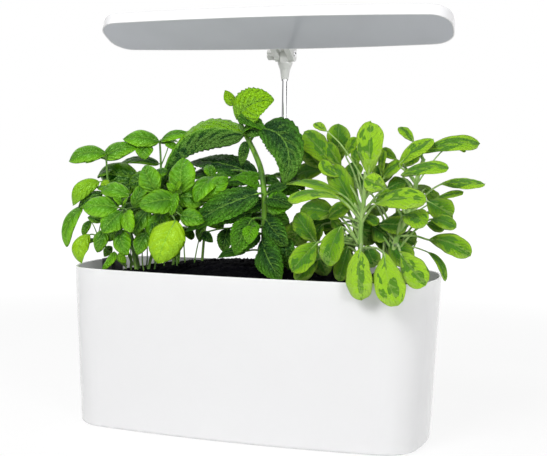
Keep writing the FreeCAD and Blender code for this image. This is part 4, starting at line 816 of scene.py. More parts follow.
@dataclass
class Plant:
    """One potted plant: stems, stalks and leaves that become a single piece."""

    name: str
    node: str
    cup: float
    form: LeafForm
    leaf_finish: LeafFinish
    stem_finish: StemFinish
    stem_radius: float
    stalk_radius: float
    stems: tuple[tuple[Point, ...], ...]
    leaves: tuple[Leaf, ...]
    filler: tuple[Leaf, ...] = ()
    sprouts: tuple[tuple[Point, ...], ...] = ()
    climb: float = 0.0
    cup_spacing: float = 80.0
    rim_height: float = 172.0
    root_drop: float = 3.0
    arch_spread: float = 0.3
    twist_spread: float = 0.22
    under_fade: float = 0.35
    under_shares: tuple[float, ...] = (0.12, 0.35, 0.6)
    stalk_taper: tuple[float, ...] = (1.25, 1.0, 0.95, 0.8, 0.55, 0.25)
    least_share: float = 0.45
    full_width: float = 45.0
    sunk_share: float = 0.7
    shortest_stalk: float = 0.5
    stalk_arch: float = 0.12
    stem_taper: float = 0.35
    stem_steps: int = 10

    def origin(self) -> Vector:
        """Give the plant's own origin: over its cup at the height of the tub's rim."""
        return Vector((self.cup * self.cup_spacing, 0, self.rim_height)) * MM

    def stem_points(self) -> list[Vector]:
        """List points along the stems, ten steps to each stretch.

        Returns:
            The points in metres.
        """
        points = []
        steps = range(self.stem_steps + 1)
        for stem in self.stems:
            spots = [self.origin() + Vector(point) * MM for point in stem]
            for start, end in zip(spots, spots[1:]):
                points += [start.lerp(end, number / self.stem_steps) for number in steps]
        return points

    def root_of(self, spot: Vector) -> Vector:
        """Find the stem point that a stalk grows from: the nearest that lies far enough below its leaf.

        Args:
            spot: The leaf's base in metres.

        Returns:
            A point on the stems, or the leaf's own base where no stem lies below it.
        """
        for climb in (self.climb, 0.0):
            level = spot.z + self.root_drop * MM
            below = [
                point for point in self.stem_points() if point.z < level - climb * (point - spot).xy.length
            ]
            if below:
                return min(below, key=lambda point: (point - spot).length)
        return spot

    def add_blade(self, maker: bmesh.types.BMesh, shape: BladeFrame, luck: float) -> None:
        """Add one thin closed leaf blade.

        Args:
            maker: The plant's bmesh.
            shape: The blade's frame.
            luck: The leaf's own random number.
        """
        coords = maker.verts.layers.float_vector["blade"]
        columns, rows = self.form.across, self.form.along
        fresh = bmesh.ops.create_grid(maker, x_segments=columns, y_segments=rows, size=1.0)["verts"]
        low = Vector((min(v.co.x for v in fresh), min(v.co.y for v in fresh), 0))
        high = Vector((max(v.co.x for v in fresh), max(v.co.y for v in fresh), 0))
        for vert in fresh:
            across = 2 * (vert.co.x - low.x) / (high.x - low.x) - 1
            share = (vert.co.y - low.y) / (high.y - low.y)
            # The lightness holds painted light and shade, and the shade value paints one half of the blade
            # darker.
            tone = shape.leaf.tone - max(0.0, across) ** 0.5 * shape.leaf.shade
            vert[coords] = (across, share, tone)
            vert.co = shape.place(across, share, luck)
        faces = list({face for vert in fresh for face in vert.link_faces})
        sides = bmesh.ops.solidify(maker, geom=faces, thickness=self.form.thickness * MM)["geom"]
        for item in sides:
            if isinstance(item, bmesh.types.BMFace):
                item.material_index = 1

    def stalk(self, shape: BladeFrame) -> Rod:
        """Make the stalk that carries a leaf and runs on under its midrib.

        Args:
            shape: The leaf's frame.

        Returns:
            The stalk as a rod.
        """
        start = shape.middle(0.0)[0]
        root = self.root_of(start)
        thick = self.stalk_radius * MM * min(1.0, self.least_share + shape.leaf.width / self.full_width)
        under = []
        for share in self.under_shares:
            spot, normal, _ = shape.middle(share)
            under.append(spot - normal * thick * self.sunk_share)
        radii = [thick * share for share in self.stalk_taper]
        if (start - root).length < self.shortest_stalk * MM:
            return Rod([start, *under], [thick, *radii[-len(under):]])
        rise = (start - root).length * self.stalk_arch
        half = root.lerp(start, 0.5) + Vector((0, 0, rise))
        return Rod([root, half, start, *under], radii)

    def stem_rod(self, stem: Sequence[Point], radius: float) -> Rod:
        """Make one stem, thinning to its tip.

        Args:
            stem: Its points.
            radius: Its radius at the foot in millimetres.

        Returns:
            The stem as a rod.
        """
        points = [self.origin() + Vector(point) * MM for point in stem]
        last = len(points) - 1
        shares = [1 - self.stem_taper * number / last for number in range(len(points))]
        return Rod(points, [radius * MM * share for share in shares])

    def build(self) -> bpy.types.Object:
        """Build the plant, put it in its CAD node's place and give it its finishes.

        Returns:
            The plant's object.
        """
        luck = random.Random(self.name)
        maker = bmesh.new()
        maker.verts.layers.float_vector.new("blade")
        rods = [self.stem_rod(stem, self.stem_radius) for stem in self.stems]
        rods += [self.stem_rod(sprout, self.stalk_radius) for sprout in self.sprouts]
        for leaf in self.leaves + self.filler:
            bend = self.form.arch * luck.uniform(1 - self.arch_spread, 1 + self.arch_spread)
            twist = luck.uniform(-self.twist_spread, self.twist_spread)
            shape = BladeFrame(leaf, self.form, self.origin(), bend, twist)
            self.add_blade(maker, shape, luck.random())
            rods.append(self.stalk(shape))
        add_rods(maker, rods, 2)
        upper, under = self.leaf_finish.material(), self.leaf_finish.material(pale=self.under_fade)
        materials = (upper, under, self.stem_finish.material())
        piece = new_piece(self.name, maker, materials)
        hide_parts(self.node)
        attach(piece, GARDEN)
        count = len(self.leaves) + len(self.filler)
        LOG.info("grew %s: %d leaves, %d faces", self.name, count, len(piece.data.polygons))
        return piece


# Places are in millimetres from each plant's own origin: over its cup, at the rim's height.
# A leaf's row holds its base, tip, width, facing and tone, then its sweep, fold and shade if it has them.
# Filler leaves stand behind and between the leaves that the photograph shows in full.

# A low tone paints the shade on leaves deep in the foliage, as on most filler leaves, and a high one paints
# the light on leaves turned to it.
BASIL_LEAVES = leaves_from(
    ((48, -58, 53), (34, -72, 9), 38, 0.9, 1.0),
    ((42, -28, 81), (40, -16, 119), 33, 0.92, 0.6),
    ((16, -35, 81), (-3, -25, 110), 25, 0.8, 0.55),
    ((40, -38, 74), (6, -58, 67), 30, 0.85, 0.42),
    ((37, -25, 76), (66, -15, 73), 26, 0.6, 0.35),
    ((71, -5, 98), (61, -35, 72), 25, 0.6, 0.6),
    ((51, -52, 58), (77, -50, 53), 20, 0.7, 0.4),
    ((-23, -50, 64), (-59, -60, 63), 26, 0.7, 0.68),
    ((-18, -50, 60), (-33, -66, 38), 26, 0.8, 0.42),
    ((-12, -50, 61), (2, -66, 40), 19, 0.8, 0.78),
    ((-8, -40, 64), (1, -32, 90), 17, 0.7, 0.32),
    ((-14, -40, 78), (-52, -30, 82), 19, 0.55, 0.66),
    ((-64, -12, 91), (-93, -20, 64), 19, 0.7, 0.85, -0.1),
    ((-83, -16, 62), (-98, -24, 17), 22, 0.7, 0.66, -0.1),
    ((-69, -25, 32), (-74, -34, 0), 21, 0.7, 0.92, -0.15),
    ((-45, -35, 38), (-51, -42, 14), 18, 0.75, 0.35),
    ((-21, -50, 40), (-7, -60, 14), 20, 0.85, 0.4),
    ((11, -48, 38), (4, -58, 15), 20, 0.85, 0.42),
    ((-56, -12, 123), (-99, -18, 114), 22, 0.55, 0.55),
    ((-62, -8, 118), (-24, 6, 133), 22, 0.55, 0.5),
    ((-2, 12, 138), (-41, 0, 140), 23, 0.5, 0.52),
    ((-2, 16, 138), (36, 22, 144), 18, 0.45, 0.52),
    ((-26, 10, 95), (-79, 18, 99), 32, 0.7, 0.08),
    ((-5, 18, 112), (-62, 30, 108), 17, 0.35, 0.06),
    ((-12, 24, 70), (-40, 50, 60), 26, -0.3, 0.3),
    ((10, 24, 85), (32, 50, 72), 26, -0.3, 0.35),
    ((-50, 10, 75), (-72, 38, 62), 22, -0.2, 0.4),
    ((60, 8, 80), (48, 40, 70), 22, -0.2, 0.35),
    ((-16, 20, 45), (-8, 50, 25), 22, -0.5, 0.3),
)
BASIL_FILLER = leaves_from(
    ((39, -36, 82), (39, -48, 58), 11, 0.6, 0.55),
    ((37, -30, 84), (45, -36, 94), 8, 0.6, 0.8),
    ((36, -30, 82), (29, -38, 92), 8, 0.6, 0.75),
    ((-19, -48, 68), (-26, -56, 76), 8, 0.5, 0.75),
    ((-17, -46, 67), (-10, -54, 74), 8, 0.5, 0.8),
    ((-65, -14, 123), (-75, -24, 112), 14, 0.6, 0.5),
    ((-18, 10, 136), (-15, 0, 117), 20, 0.7, 0.5),
    ((5, 14, 138), (19, 12, 130), 10, 0.6, 0.5),
    ((-53, -10, 92), (-62, -14, 82), 13, 0.6, 0.9),
    ((-59, -14, 78), (-88, -16, 61), 17, 0.6, 0.05),
    ((-71, -20, 47), (-78, -24, 31), 10, 0.6, 0.15),
    ((-52, -30, 48), (-67, -34, 52), 10, 0.6, 0.08),
    ((-6, -26, 63), (-3, -34, 41), 14, 0.8, 0.62),
    ((16, -34, 57), (11, -42, 34), 19, 0.85, 0.7),
    ((-32, -38, 15), (-40, -52, -3), 11, 0.75, 0.75, 0.15),
    ((-27, -40, 13), (-14, -46, 5), 10, 0.8, 0.8),
    ((-44, -20, 19), (-53, -22, 8), 10, 0.7, 0.2),
    ((-31, 6, 91), (-47, 0, 75), 22, 0.75, 0.05),
    ((6, 20, 99), (-2, 16, 80), 20, 0.7, 0.05),
    ((42, 10, 77), (62, 14, 87), 20, 0.6, 0.25),
    ((61, -25, 75), (90, -12, 98), 24, 0.65, 0.5),
    ((-64, 0, 56), (-82, 4, 64), 22, 0.6, 0.06),
    ((5, -30, 62), (-6, -42, 34), 20, 0.8, 0.2),
    ((22, -30, 66), (26, -38, 36), 22, 0.85, 0.22),
    ((14, -38, 50), (26, -46, 24), 19, 0.85, 0.32),
    ((-30, -30, 52), (-42, -34, 26), 19, 0.75, 0.15),
    ((-36, -20, 72), (-60, -28, 52), 22, 0.6, 0.2),
    ((-40, -10, 84), (-66, -14, 84), 18, 0.4, 0.25),
    ((-4, -10, 92), (20, -14, 104), 22, 0.5, 0.12),
    ((-6, 0, 96), (-30, -6, 88), 26, 0.7, 0.06),
    ((4, -6, 76), (24, -14, 60), 26, 0.75, 0.06),
    ((-20, -8, 66), (-36, -14, 44), 26, 0.75, 0.06),
    ((-8, 6, 54), (10, 2, 34), 24, 0.75, 0.04),
    ((30, 0, 80), (52, -4, 66), 22, 0.7, 0.06),
    ((58, 0, 60), (80, 4, 44), 20, 0.6, 0.08),
    ((60, 2, 52), (50, 8, 26), 14, 0.6, 0.04),
    ((64, -2, 94), (84, 6, 100), 20, 0.4, 0.35),
    ((66, 2, 99), (56, 12, 112), 14, 0.4, 0.5),
    ((-52, 0, 62), (-76, 8, 46), 20, 0.4, 0.15),
    ((-55, -4, 102), (-74, 8, 96), 18, 0.3, 0.3),
    ((-57, -6, 116), (-66, 18, 122), 20, -0.1, 0.6),
    ((-2, 18, 136), (4, 44, 140), 22, -0.1, 0.55),
    ((12, 18, 100), (36, 30, 108), 20, 0.0, 0.3),
    ((32, -8, 58), (48, 20, 52), 24, -0.2, 0.3),
    ((-30, 14, 34), (-48, 40, 30), 22, -0.4, 0.35),
    ((24, 6, 40), (30, 36, 26), 20, -0.5, 0.3),
    ((-64, -20, 26), (-82, -8, 20), 16, 0.1, 0.5),
    ((30, -26, 66), (44, -30, 60), 11, 0.7, 0.4),
    ((0, -8, 74), (-16, -12, 58), 20, 0.8, 0.05),
    ((20, 0, 92), (38, 2, 80), 22, 0.8, 0.05),
    ((-24, 0, 64), (-40, -2, 50), 22, 0.8, 0.04),
    ((12, 4, 66), (26, 6, 48), 20, 0.8, 0.04),
    ((40, -4, 64), (56, -2, 52), 18, 0.8, 0.06),
    ((34, -14, 24), (34, -16, 0), 8, 0.8, 0.05),
    ((-6, 8, 80), (-24, 10, 68), 22, 0.8, 0.06),
    ((-28, 8, 72), (-46, 10, 60), 22, 0.8, 0.05),
    ((-8, 2, 34), (-24, 4, 24), 18, 0.8, 0.05),
    ((24, 4, 68), (42, 6, 56), 20, 0.8, 0.05),
    ((8, 4, 88), (24, 6, 76), 20, 0.8, 0.06),
)
BASIL = Plant(
    "basil_plant", "basil", -1.5, BASIL_FORM, BASIL_LEAF, BASIL_STEM, 1.7, 0.85,
    stems=(
        ((7, -35, -3), (12, -34, 20), (17, -32, 35), (28, -29, 58), (37, -28, 78)),
        ((-6, -30, -3), (-10, -31, 15), (-13, -32, 30), (-17, -37, 48), (-19, -44, 63)),
        ((-25, -5, -3), (-38, -5, 25), (-44, -5, 48), (-52, -7, 70), (-56, -8, 87), (-57, -10, 118)),
        ((0, 5, 0), (1, 9, 30), (2, 12, 60), (0, 14, 90), (-1, 15, 118), (-3, 16, 138)),
        ((58, -5, 0), (59, -4, 22), (60, -2, 41), (62, -1, 70), (65, 0, 98)),
        ((-24, -25, -2), (-40, -25, 8), (-50, -25, 19), (-59, -25, 30)),
        ((30, -20, 0), (32, -20, 25), (30, -22, 55)),
        ((-3, -45, -2), (-6, -47, 20), (-12, -48, 45)),
    ),
    sprouts=(
        ((-20, -34, -4), (-22, -33, 10), (-26, -30, 26)),
        ((-17, -30, -3), (-15, -30, 12), (-18, -30, 30)),
        ((-12, -38, -4), (-12, -38, 12), (-8, -36, 30)),
        ((-9, -28, -3), (-10, -29, 14), (-5, -30, 36)),
        ((-5, -36, -4), (-7, -36, 10), (-3, -34, 28)),
        ((0, -24, -2), (2, -24, 14), (0, -26, 36)),
        ((3, -38, -4), (-1, -38, 12), (2, -36, 32)),
        ((11, -26, -2), (10, -27, 14), (14, -28, 34)),
        ((14, -34, -3), (16, -33, 14), (17, -30, 32)),
        ((20, -22, -2), (19, -22, 16), (24, -24, 36)),
        ((38, -28, -2), (37, -29, 14), (40, -30, 40)),
        ((43, -16, 0), (41, -17, 18), (42, -20, 44)),
        ((52, -14, 0), (54, -12, 20), (58, -8, 40)),
        ((-1, 15, 110), (5, 15, 122), (10, 14, 137)),
    ),
    leaves=BASIL_LEAVES,
    filler=BASIL_FILLER,
)

MINT_LEAVES = leaves_from(
    ((-62, -5, 162), (-20, -12, 182), 42, 0.9, 0.92, 0.1),
    ((-70, 2, 178), (-82, 6, 194), 12, 0.6, 0.95),
    ((-60, -14, 163), (-26, -18, 148), 14, 0.75, 0.3, 0.08),
    ((-32, -16, 152), (-1, -34, 93), 39, 0.92, 0.14, 0.28, 0.1, 0.12),
    ((-55, -6, 146), (-159, 6, 81), 39, 0.6, 0.85, -0.27, -0.65, 1.3),
    ((-30, -28, 83), (-112, -30, 40), 34, 0.75, 0.18),
    ((-48, 20, 101), (-135, 34, 114), 30, 0.6, 0.03),
    ((-35, -34, 56), (-47, -52, 19), 32, 0.9, 0.36),
    ((-31, -46, 49), (-32, -54, 31), 17, 0.8, 0.75),
    ((-21, -25, 78), (7, -35, 71), 20, 0.5, 0.12),
    ((-19, -44, 27), (7, -66, -4), 30, 0.9, 0.1),
    ((-26, -6, 100), (2, 40, 86), 34, -0.3, 0.2),
    ((-28, -10, 60), (-60, 32, 42), 34, -0.4, 0.2),
    ((-20, -14, 45), (10, 24, 22), 30, -0.5, 0.2),
)
MINT_FILLER = leaves_from(
    ((-56, -4, 148), (-32, -14, 160), 20, 0.5, 0.6),
    ((-52, -6, 138), (-58, -4, 112), 12, 0.8, 0.1),
    ((-33, -18, 91), (-57, -24, 99), 13, 0.6, 0.6),
    ((-34, -20, 90), (-46, -28, 87), 10, 0.7, 0.55),
    ((-33, -14, 100), (-66, -20, 96), 14, 0.5, 0.5),
    ((-101, 30, 100), (-135, 40, 97), 22, 0.6, 0.14),
    ((-43, -30, 21), (-73, -34, 13), 12, 0.6, 0.06),
    ((-67, -20, 44), (-69, -26, 18), 18, 0.75, 0.05),
    ((-97, -18, 38), (-83, -22, 29), 11, 0.7, 0.05),
    ((-23, -20, 82), (2, -22, 92), 18, 0.6, 0.1),
    ((-21, -28, 73), (8, -30, 72), 25, 0.8, 0.5),
    ((-20, -30, 55), (6, -38, 29), 25, 0.85, 0.05),
    ((-22, -26, 42), (-2, -20, 44), 18, 0.7, 0.03),
    ((-22, -40, 35), (-5, -50, 13), 20, 0.85, 0.08),
    ((-60, 0, 74), (-85, 10, 85), 26, 0.6, 0.06),
    ((-22, -22, 64), (0, -14, 48), 22, 0.7, 0.2),
    ((-28, -28, 40), (-62, -30, 16), 22, 0.75, 0.06),
    ((0, -30, 37), (8, -38, 5), 19, 0.85, 0.1),
    ((-40, -20, 62), (-80, -22, 49), 18, 0.7, 0.12),
    ((-14, -10, 90), (12, -14, 85), 14, 0.7, 0.2),
    ((-28, -16, 75), (-46, -20, 62), 14, 0.7, 0.08),
    ((-44, 0, 95), (-84, 4, 91), 14, 0.6, 0.08),
    ((-34, -6, 98), (-12, -8, 93), 13, 0.6, 0.1),
    ((-52, -8, 152), (-27, -16, 148), 17, 0.85, 0.14),
)
MINT = Plant(
    "mint_plant", "mint", 0.5, MINT_FORM, MINT_LEAF, MINT_STEM, 4.0, 1.3,
    stems=(
        (
            (-24, -25, -2), (-24, -24, 37), (-25, -22, 60), (-26, -20, 78), (-31, -14, 106),
            (-41, -8, 125), (-50, -4, 139), (-61, 0, 157),
        ),
    ),
    leaves=MINT_LEAVES,
    filler=MINT_FILLER,
)

SAGE_LEAVES = leaves_from(
    ((8, -30, 105), (7, -20, 159), 28, 0.9, 0.85),
    ((35, -15, 115), (68, 0, 143), 18, 0.55, 0.8),
    ((52, 5, 128), (113, 25, 139), 18, 0.75, 0.75),
    ((41, -30, 105), (89, -40, 113), 18, 0.55, 0.75),
    ((78, -10, 97), (122, -5, 98), 16, 0.45, 0.75, -0.06),
    ((19, -45, 76), (71, -60, 82), 22, 0.7, 0.85),
    ((71, -28, 62), (98, -36, 55), 15, 0.6, 0.4),
    ((66, -20, 75), (101, -6, 89), 9, 0.4, 0.7),
    ((45, -42, 65), (72, -56, 60), 22, 0.7, 0.72),
    ((70, -25, 40), (112, -35, 27), 21, 0.75, 0.55, 0.1),
    ((66, -14, 28), (87, -20, -1), 8, 0.6, 0.4, 0.1),
    ((11, -80, 32), (17, -98, -14), 29, 0.95, 0.95),
    ((35, -80, 30), (52, -100, -17), 29, 0.95, 0.92, -0.05),
    ((49, -76, 31), (77, -94, 3), 26, 0.9, 0.88),
    ((-38, -55, 36), (-60, -72, 7), 25, 0.9, 0.5),
    ((-15, -50, 53), (-25, -66, 14), 24, 0.9, 0.42),
    ((-20, -45, 81), (-66, -70, 78), 22, 0.4, 0.8),
    ((-21, -30, 85), (-82, -15, 94), 18, 0.35, 0.62, 0.1),
    ((-4, -26, 64), (-37, -5, 113), 25, 0.7, 0.45),
    ((-38, 0, 114), (-72, 10, 149), 27, 0.6, 0.62),
    ((-35, 20, 117), (-37, 26, 159), 25, 0.85, 0.35),
    ((-27, -20, 64), (-68, -10, 68), 26, 0.6, 0.25),
    ((3, 20, 35), (41, 45, 12), 34, 0.6, 0.05),
    ((28, 15, 84), (39, 30, 100), 24, 0.7, 0.05),
    ((-64, -10, 59), (-75, -20, 29), 28, 0.85, 0.12),
    ((10, 15, 70), (0, 55, 60), 26, -0.3, 0.5),
    ((40, 10, 90), (60, 45, 85), 22, -0.3, 0.5),
    ((-30, 15, 50), (-50, 45, 35), 24, -0.4, 0.4),
)
SAGE_FILLER = leaves_from(
    ((-42, -10, 150), (-57, -6, 158), 9, 0.6, 0.9),
    ((-25, -14, 104), (-45, -16, 119), 15, 0.6, 0.75, 0.2),
    ((-52, 10, 111), (-71, 14, 134), 22, 0.8, 0.3),
    ((-47, 12, 109), (-82, 16, 102), 24, 0.7, 0.16),
    ((-25, 5, 124), (-14, 8, 144), 12, 0.7, 0.6),
    ((-13, 4, 95), (-16, 8, 118), 20, 0.8, 0.02),
    ((17, 6, 96), (15, 10, 117), 24, 0.8, 0.0),
    ((18, -12, 104), (19, -8, 131), 9, 0.8, 0.8),
    ((32, -4, 121), (14, 0, 131), 11, 0.6, 0.5),
    ((20, -14, 101), (37, -8, 119), 15, 0.7, 0.7),
    ((48, 4, 140), (31, 10, 155), 11, 0.6, 0.7),
    ((86, 14, 139), (100, 16, 131), 8, 0.5, 0.75),
    ((28, -46, 92), (8, -52, 101), 20, 0.85, 0.88),
    ((12, -40, 77), (45, -46, 75), 11, 0.5, 0.6),
    ((66, -20, 80), (92, -22, 65), 25, 0.75, 0.2),
    ((23, -10, 90), (41, -6, 99), 17, 0.6, 0.12),
    ((17, -20, 54), (47, -16, 53), 20, 0.7, 0.05),
    ((-40, -46, 18), (-59, -60, -3), 17, 0.9, 0.2),
    ((-10, -40, 32), (-15, -56, -2), 18, 0.9, 0.2),
    ((-10, -20, 45), (-18, -26, 24), 20, 0.8, 0.04),
    ((7, -30, 32), (17, -36, 12), 20, 0.8, 0.04),
    ((-29, -6, 47), (-63, 0, 59), 22, 0.7, 0.02),
    ((9, -10, 52), (26, -12, 40), 24, 0.7, 0.04),
    ((28, -10, 38), (50, -20, 15), 26, 0.8, 0.05),
    ((36, 0, 44), (52, 0, 34), 20, 0.7, 0.06),
    ((-46, -30, 33), (-71, -20, 62), 22, 0.85, 0.25),
    ((26, -10, 62), (46, -8, 56), 22, 0.6, 0.08),
    ((-10, -6, 60), (8, -2, 32), 26, 0.8, 0.03),
    ((4, 8, 84), (-12, 14, 104), 22, 0.7, 0.04),
    ((-44, -30, 30), (-30, -44, 2), 24, 0.9, 0.1),
    ((14, 14, 40), (24, 48, 30), 24, -0.4, 0.35),
    ((-6, 20, 96), (-22, 44, 104), 20, -0.2, 0.5),
    ((62, 10, 66), (84, 36, 58), 20, -0.3, 0.45),
    ((-8, -20, 76), (-34, -26, 60), 16, 0.7, 0.3),
    ((-28, 0, 112), (-46, 4, 138), 16, 0.7, 0.5),
    ((2, -20, 63), (18, -24, 55), 12, 0.7, 0.4),
    ((-34, -16, 60), (-22, -22, 48), 12, 0.7, 0.2),
    ((-44, -10, 52), (-54, -16, 32), 15, 0.8, 0.1),
    ((60, 8, 92), (74, 14, 76), 14, 0.6, 0.3),
    ((66, -16, 57), (84, -20, 51), 11, 0.7, 0.3),
    ((14, -20, 80), (30, -24, 88), 12, 0.7, 0.6),
    ((-12, 4, 112), (-14, 6, 134), 11, 0.8, 0.5),
    ((38, -2, 114), (54, 2, 126), 10, 0.7, 0.6),
)
SAGE = Plant(
    "sage_plant", "sage", 1.5, SAGE_FORM, SAGE_LEAF, SAGE_STEM, 3.2, 1.2, climb=1.1,
    stems=(
        (
            (3, -35, -2), (3, -35, 16), (2, -35, 32), (1, -34, 47), (3, -32, 70), (4, -30, 89),
            (4, -28, 108),
        ),
        (
            (30, -15, -2), (33, -18, 29), (38, -20, 48), (47, -20, 62), (52, -16, 85), (55, -10, 107),
            (59, 0, 122),
        ),
    ),
    sprouts=(
        ((-14, -20, -2), (-22, -16, 30), (-34, -4, 60)),
        ((20, -14, 0), (24, -14, 30), (20, -12, 58)),
        ((40, -10, -2), (48, -10, 22), (56, -12, 38)),
    ),
    leaves=SAGE_LEAVES,
    filler=SAGE_FILLER,
)


@dataclass
class MediumBed:
    """The heap of growing medium with its loose crumbs."""

    name: str = "medium_bed"
    half_length: float = 193.5
    half_depth: float = 84.0
    top: float = 181.0
    foot: float = 103.0
    long_radius: float = 722.0
    cross_radius: float = 170.0
    columns: int = 150
    rows: int = 66
    lump: float = 2.0
    crumb_count: int = 900
    column_x: float = -173.0
    column_half_depth: float = 8.5
    column_room: float = 12.5
    crumb_room: float = 15.0
    corner_power: float = 3.2
    lump_width: float = 9.0
    clod_width: float = 3.5
    clod_share: float = 0.6
    clod_level: float = 5.0
    crumb_radii: tuple[float, float] = (0.6, 1.7)
    crumb_spread: tuple[float, float] = (0.97, 0.95)
    crumb_shares: tuple[tuple[float, float], ...] = ((0.7, 1.5), (0.7, 1.2), (0.5, 0.9))

    def surface(self, x: float, y: float) -> float:
        """Give the heap's height over a point of the tub, all in millimetres.

        Args:
            x: The point's place along the tub.
            y: Its place across the tub.

        Returns:
            The height over the tub's underside.
        """
        drop = self.long_radius - math.sqrt(self.long_radius**2 - x**2)
        drop += self.cross_radius - math.sqrt(self.cross_radius**2 - y**2)
        lump = noise.noise(Vector((x, y, 0)) / self.lump_width)
        clod = noise.noise(Vector((x, y, self.clod_level)) / self.clod_width)
        return self.top - drop + self.lump * (lump + self.clod_share * clod)

    def spread(self, u: float, v: float) -> tuple[float, float]:
        """Map a point of a square to the bed's rounded outline.

        Args:
            u: From -1 to 1 along the bed.
            v: From -1 to 1 across it.

        Returns:
            The point in millimetres.
        """
        power = self.corner_power
        corner = (abs(u) ** power + abs(v) ** power) ** (1 / power) if u or v else 1.0
        pull = max(abs(u), abs(v)) / corner if corner else 1.0
        return u * pull * self.half_length, v * pull * self.half_depth

    def off_column(self, x: float, y: float) -> float:
        """Give a point's distance from the fill column's middle line, all in millimetres."""
        return math.hypot(x - self.column_x, max(abs(y) - self.column_half_depth, 0))

    def add_crumbs(self, maker: bmesh.types.BMesh, luck: random.Random) -> None:
        """Scatter small rough crumbs on the heap.

        Args:
            maker: The bed's bmesh.
            luck: The bed's random numbers.
        """
        far_x, far_y = self.crumb_spread
        for _ in range(self.crumb_count):
            x, y = self.spread(luck.uniform(-far_x, far_x), luck.uniform(-far_y, far_y))
            if self.off_column(x, y) < self.crumb_room:
                continue
            size = luck.uniform(*self.crumb_radii)
            spot = Matrix.Translation(Vector((x, y, self.surface(x, y))) * MM)
            turn = Matrix.Rotation(luck.uniform(0, 6), 4, Vector((luck.random(), luck.random(), 1)))
            shares = [luck.uniform(*share) for share in self.crumb_shares]
            matrix = spot @ turn @ Matrix.Diagonal((*shares, 1))
            bmesh.ops.create_icosphere(maker, subdivisions=1, radius=size * MM, matrix=matrix)

    def build(self) -> bpy.types.Object:
        """Build the heap as one closed mesh with loose crumbs on it.

        Returns:
            The bed's object.
        """
        maker = bmesh.new()
        grid = bmesh.ops.create_grid(maker, x_segments=self.columns, y_segments=self.rows, size=1.0)
        for vert in grid["verts"]:
            x, y = self.spread(vert.co.x, vert.co.y)
            vert.co = Vector((x, y, self.surface(x, y))) * MM
        middles = {face: face.calc_center_median() / MM for face in maker.faces}
        hole = [face for face, spot in middles.items() if self.off_column(spot.x, spot.y) < self.column_room]
        bmesh.ops.delete(maker, geom=hole, context="FACES")
        border = [edge for edge in maker.edges if edge.is_boundary]
        wall = bmesh.ops.extrude_edge_only(maker, edges=border)["geom"]
        for item in wall:
            if isinstance(item, bmesh.types.BMVert):
                item.co.z = self.foot * MM
        loops = [edge for edge in maker.edges if edge.is_boundary]
        bmesh.ops.triangle_fill(maker, use_beauty=True, edges=loops)
        bmesh.ops.recalc_face_normals(maker, faces=maker.faces)
        self.add_crumbs(maker, random.Random(self.name))
        piece = new_piece(self.name, maker, (MediumFinish().material(),))
        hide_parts("growing_medium")
        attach(piece, GARDEN)
        LOG.info("laid %s: %d faces", self.name, len(piece.data.polygons))
        return piece


@dataclass
class RootPlugs:
    """The medium in the cups, made from the CAD plugs with a rough skin."""

    name: str = "root_plug_fill"
    dent: float = 0.5
    dents_per_metre: float = 300.0
    longest_edge: float = 12.0
    cuts: int = 7
    merge_gap: float = 0.01

    def build(self) -> bpy.types.Object:
        """Build the plugs with small dents all over.

        Returns:
            The plugs' object.
        """
        maker = bmesh.new()
        maker.from_mesh(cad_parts["root_plugs"].data)
        bmesh.ops.remove_doubles(maker, verts=maker.verts, dist=self.merge_gap * MM)
        long_edges = [edge for edge in maker.edges if edge.calc_length() > self.longest_edge * MM]
        bmesh.ops.subdivide_edges(maker, edges=long_edges, cuts=self.cuts, use_grid_fill=True)
        maker.normal_update()
        for vert in maker.verts:
            depth = self.dent * (0.5 + 0.5 * noise.noise(vert.co * self.dents_per_metre))
            vert.co -= vert.normal * depth * MM
        piece = new_piece(self.name, maker, (MediumFinish("plug_medium").material(),))
        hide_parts("root_plugs")
        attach(piece, GARDEN)
        LOG.info("laid %s", self.name)
        return piece


# Studio


@dataclass
class Camera:
    """The photograph's camera, from a fit to the rim, the base, the mast and the lamp."""

    position: Point = (311.8, -988.7, 283.0)
    azimuth: float = 16.52
    elevation: float = 3.66
    roll: float = 1.04
    focal_pixels: float = 951.59
    image_width: int = 547
    sensor: float = 36.0
    clip: tuple[float, float] = (0.01, 50.0)

    def build(self) -> None:
        """Make the camera and set it as the scene's."""
        turn, tilt, roll = (math.radians(angle) for angle in (self.azimuth, self.elevation, self.roll))
        back = Vector((math.sin(turn) * math.cos(tilt), -math.cos(turn) * math.cos(tilt), math.sin(tilt)))
        right = Vector((math.cos(turn), math.sin(turn), 0))
        up = back.cross(right)
        level, upright = right, up
        right = level * math.cos(roll) + upright * math.sin(roll)
        up = upright * math.cos(roll) - level * math.sin(roll)
        data = bpy.data.cameras.new("camera")
        data.sensor_width = self.sensor
        data.lens = self.focal_pixels / self.image_width * self.sensor
        data.clip_start, data.clip_end = self.clip
        camera = bpy.data.objects.new("camera", data)
        turned = Matrix((right, up, back)).transposed().to_4x4()
        camera.matrix_world = Matrix.Translation(Vector(self.position) * MM) @ turned
        bpy.context.scene.collection.objects.link(camera)
        bpy.context.scene.camera = camera


@dataclass(frozen=True)
class SoftLight:
    """A soft rectangular light aimed at the garden."""

    name: str
    position: Point
    size: tuple[float, float]
    power: float
    aim: Point = (0.0, 0.0, 0.2)

    def build(self) -> None:
        """Make the light and turn it to the garden's middle."""
        data = bpy.data.lights.new(self.name, "AREA")
        data.shape = "RECTANGLE"
        data.size, data.size_y = self.size
        data.energy = self.power
        light = bpy.data.objects.new(self.name, data)
        light.location = self.position
        light.rotation_euler = (Vector(self.aim) - light.location).to_track_quat("-Z", "Y").to_euler()
        bpy.context.scene.collection.objects.link(light)


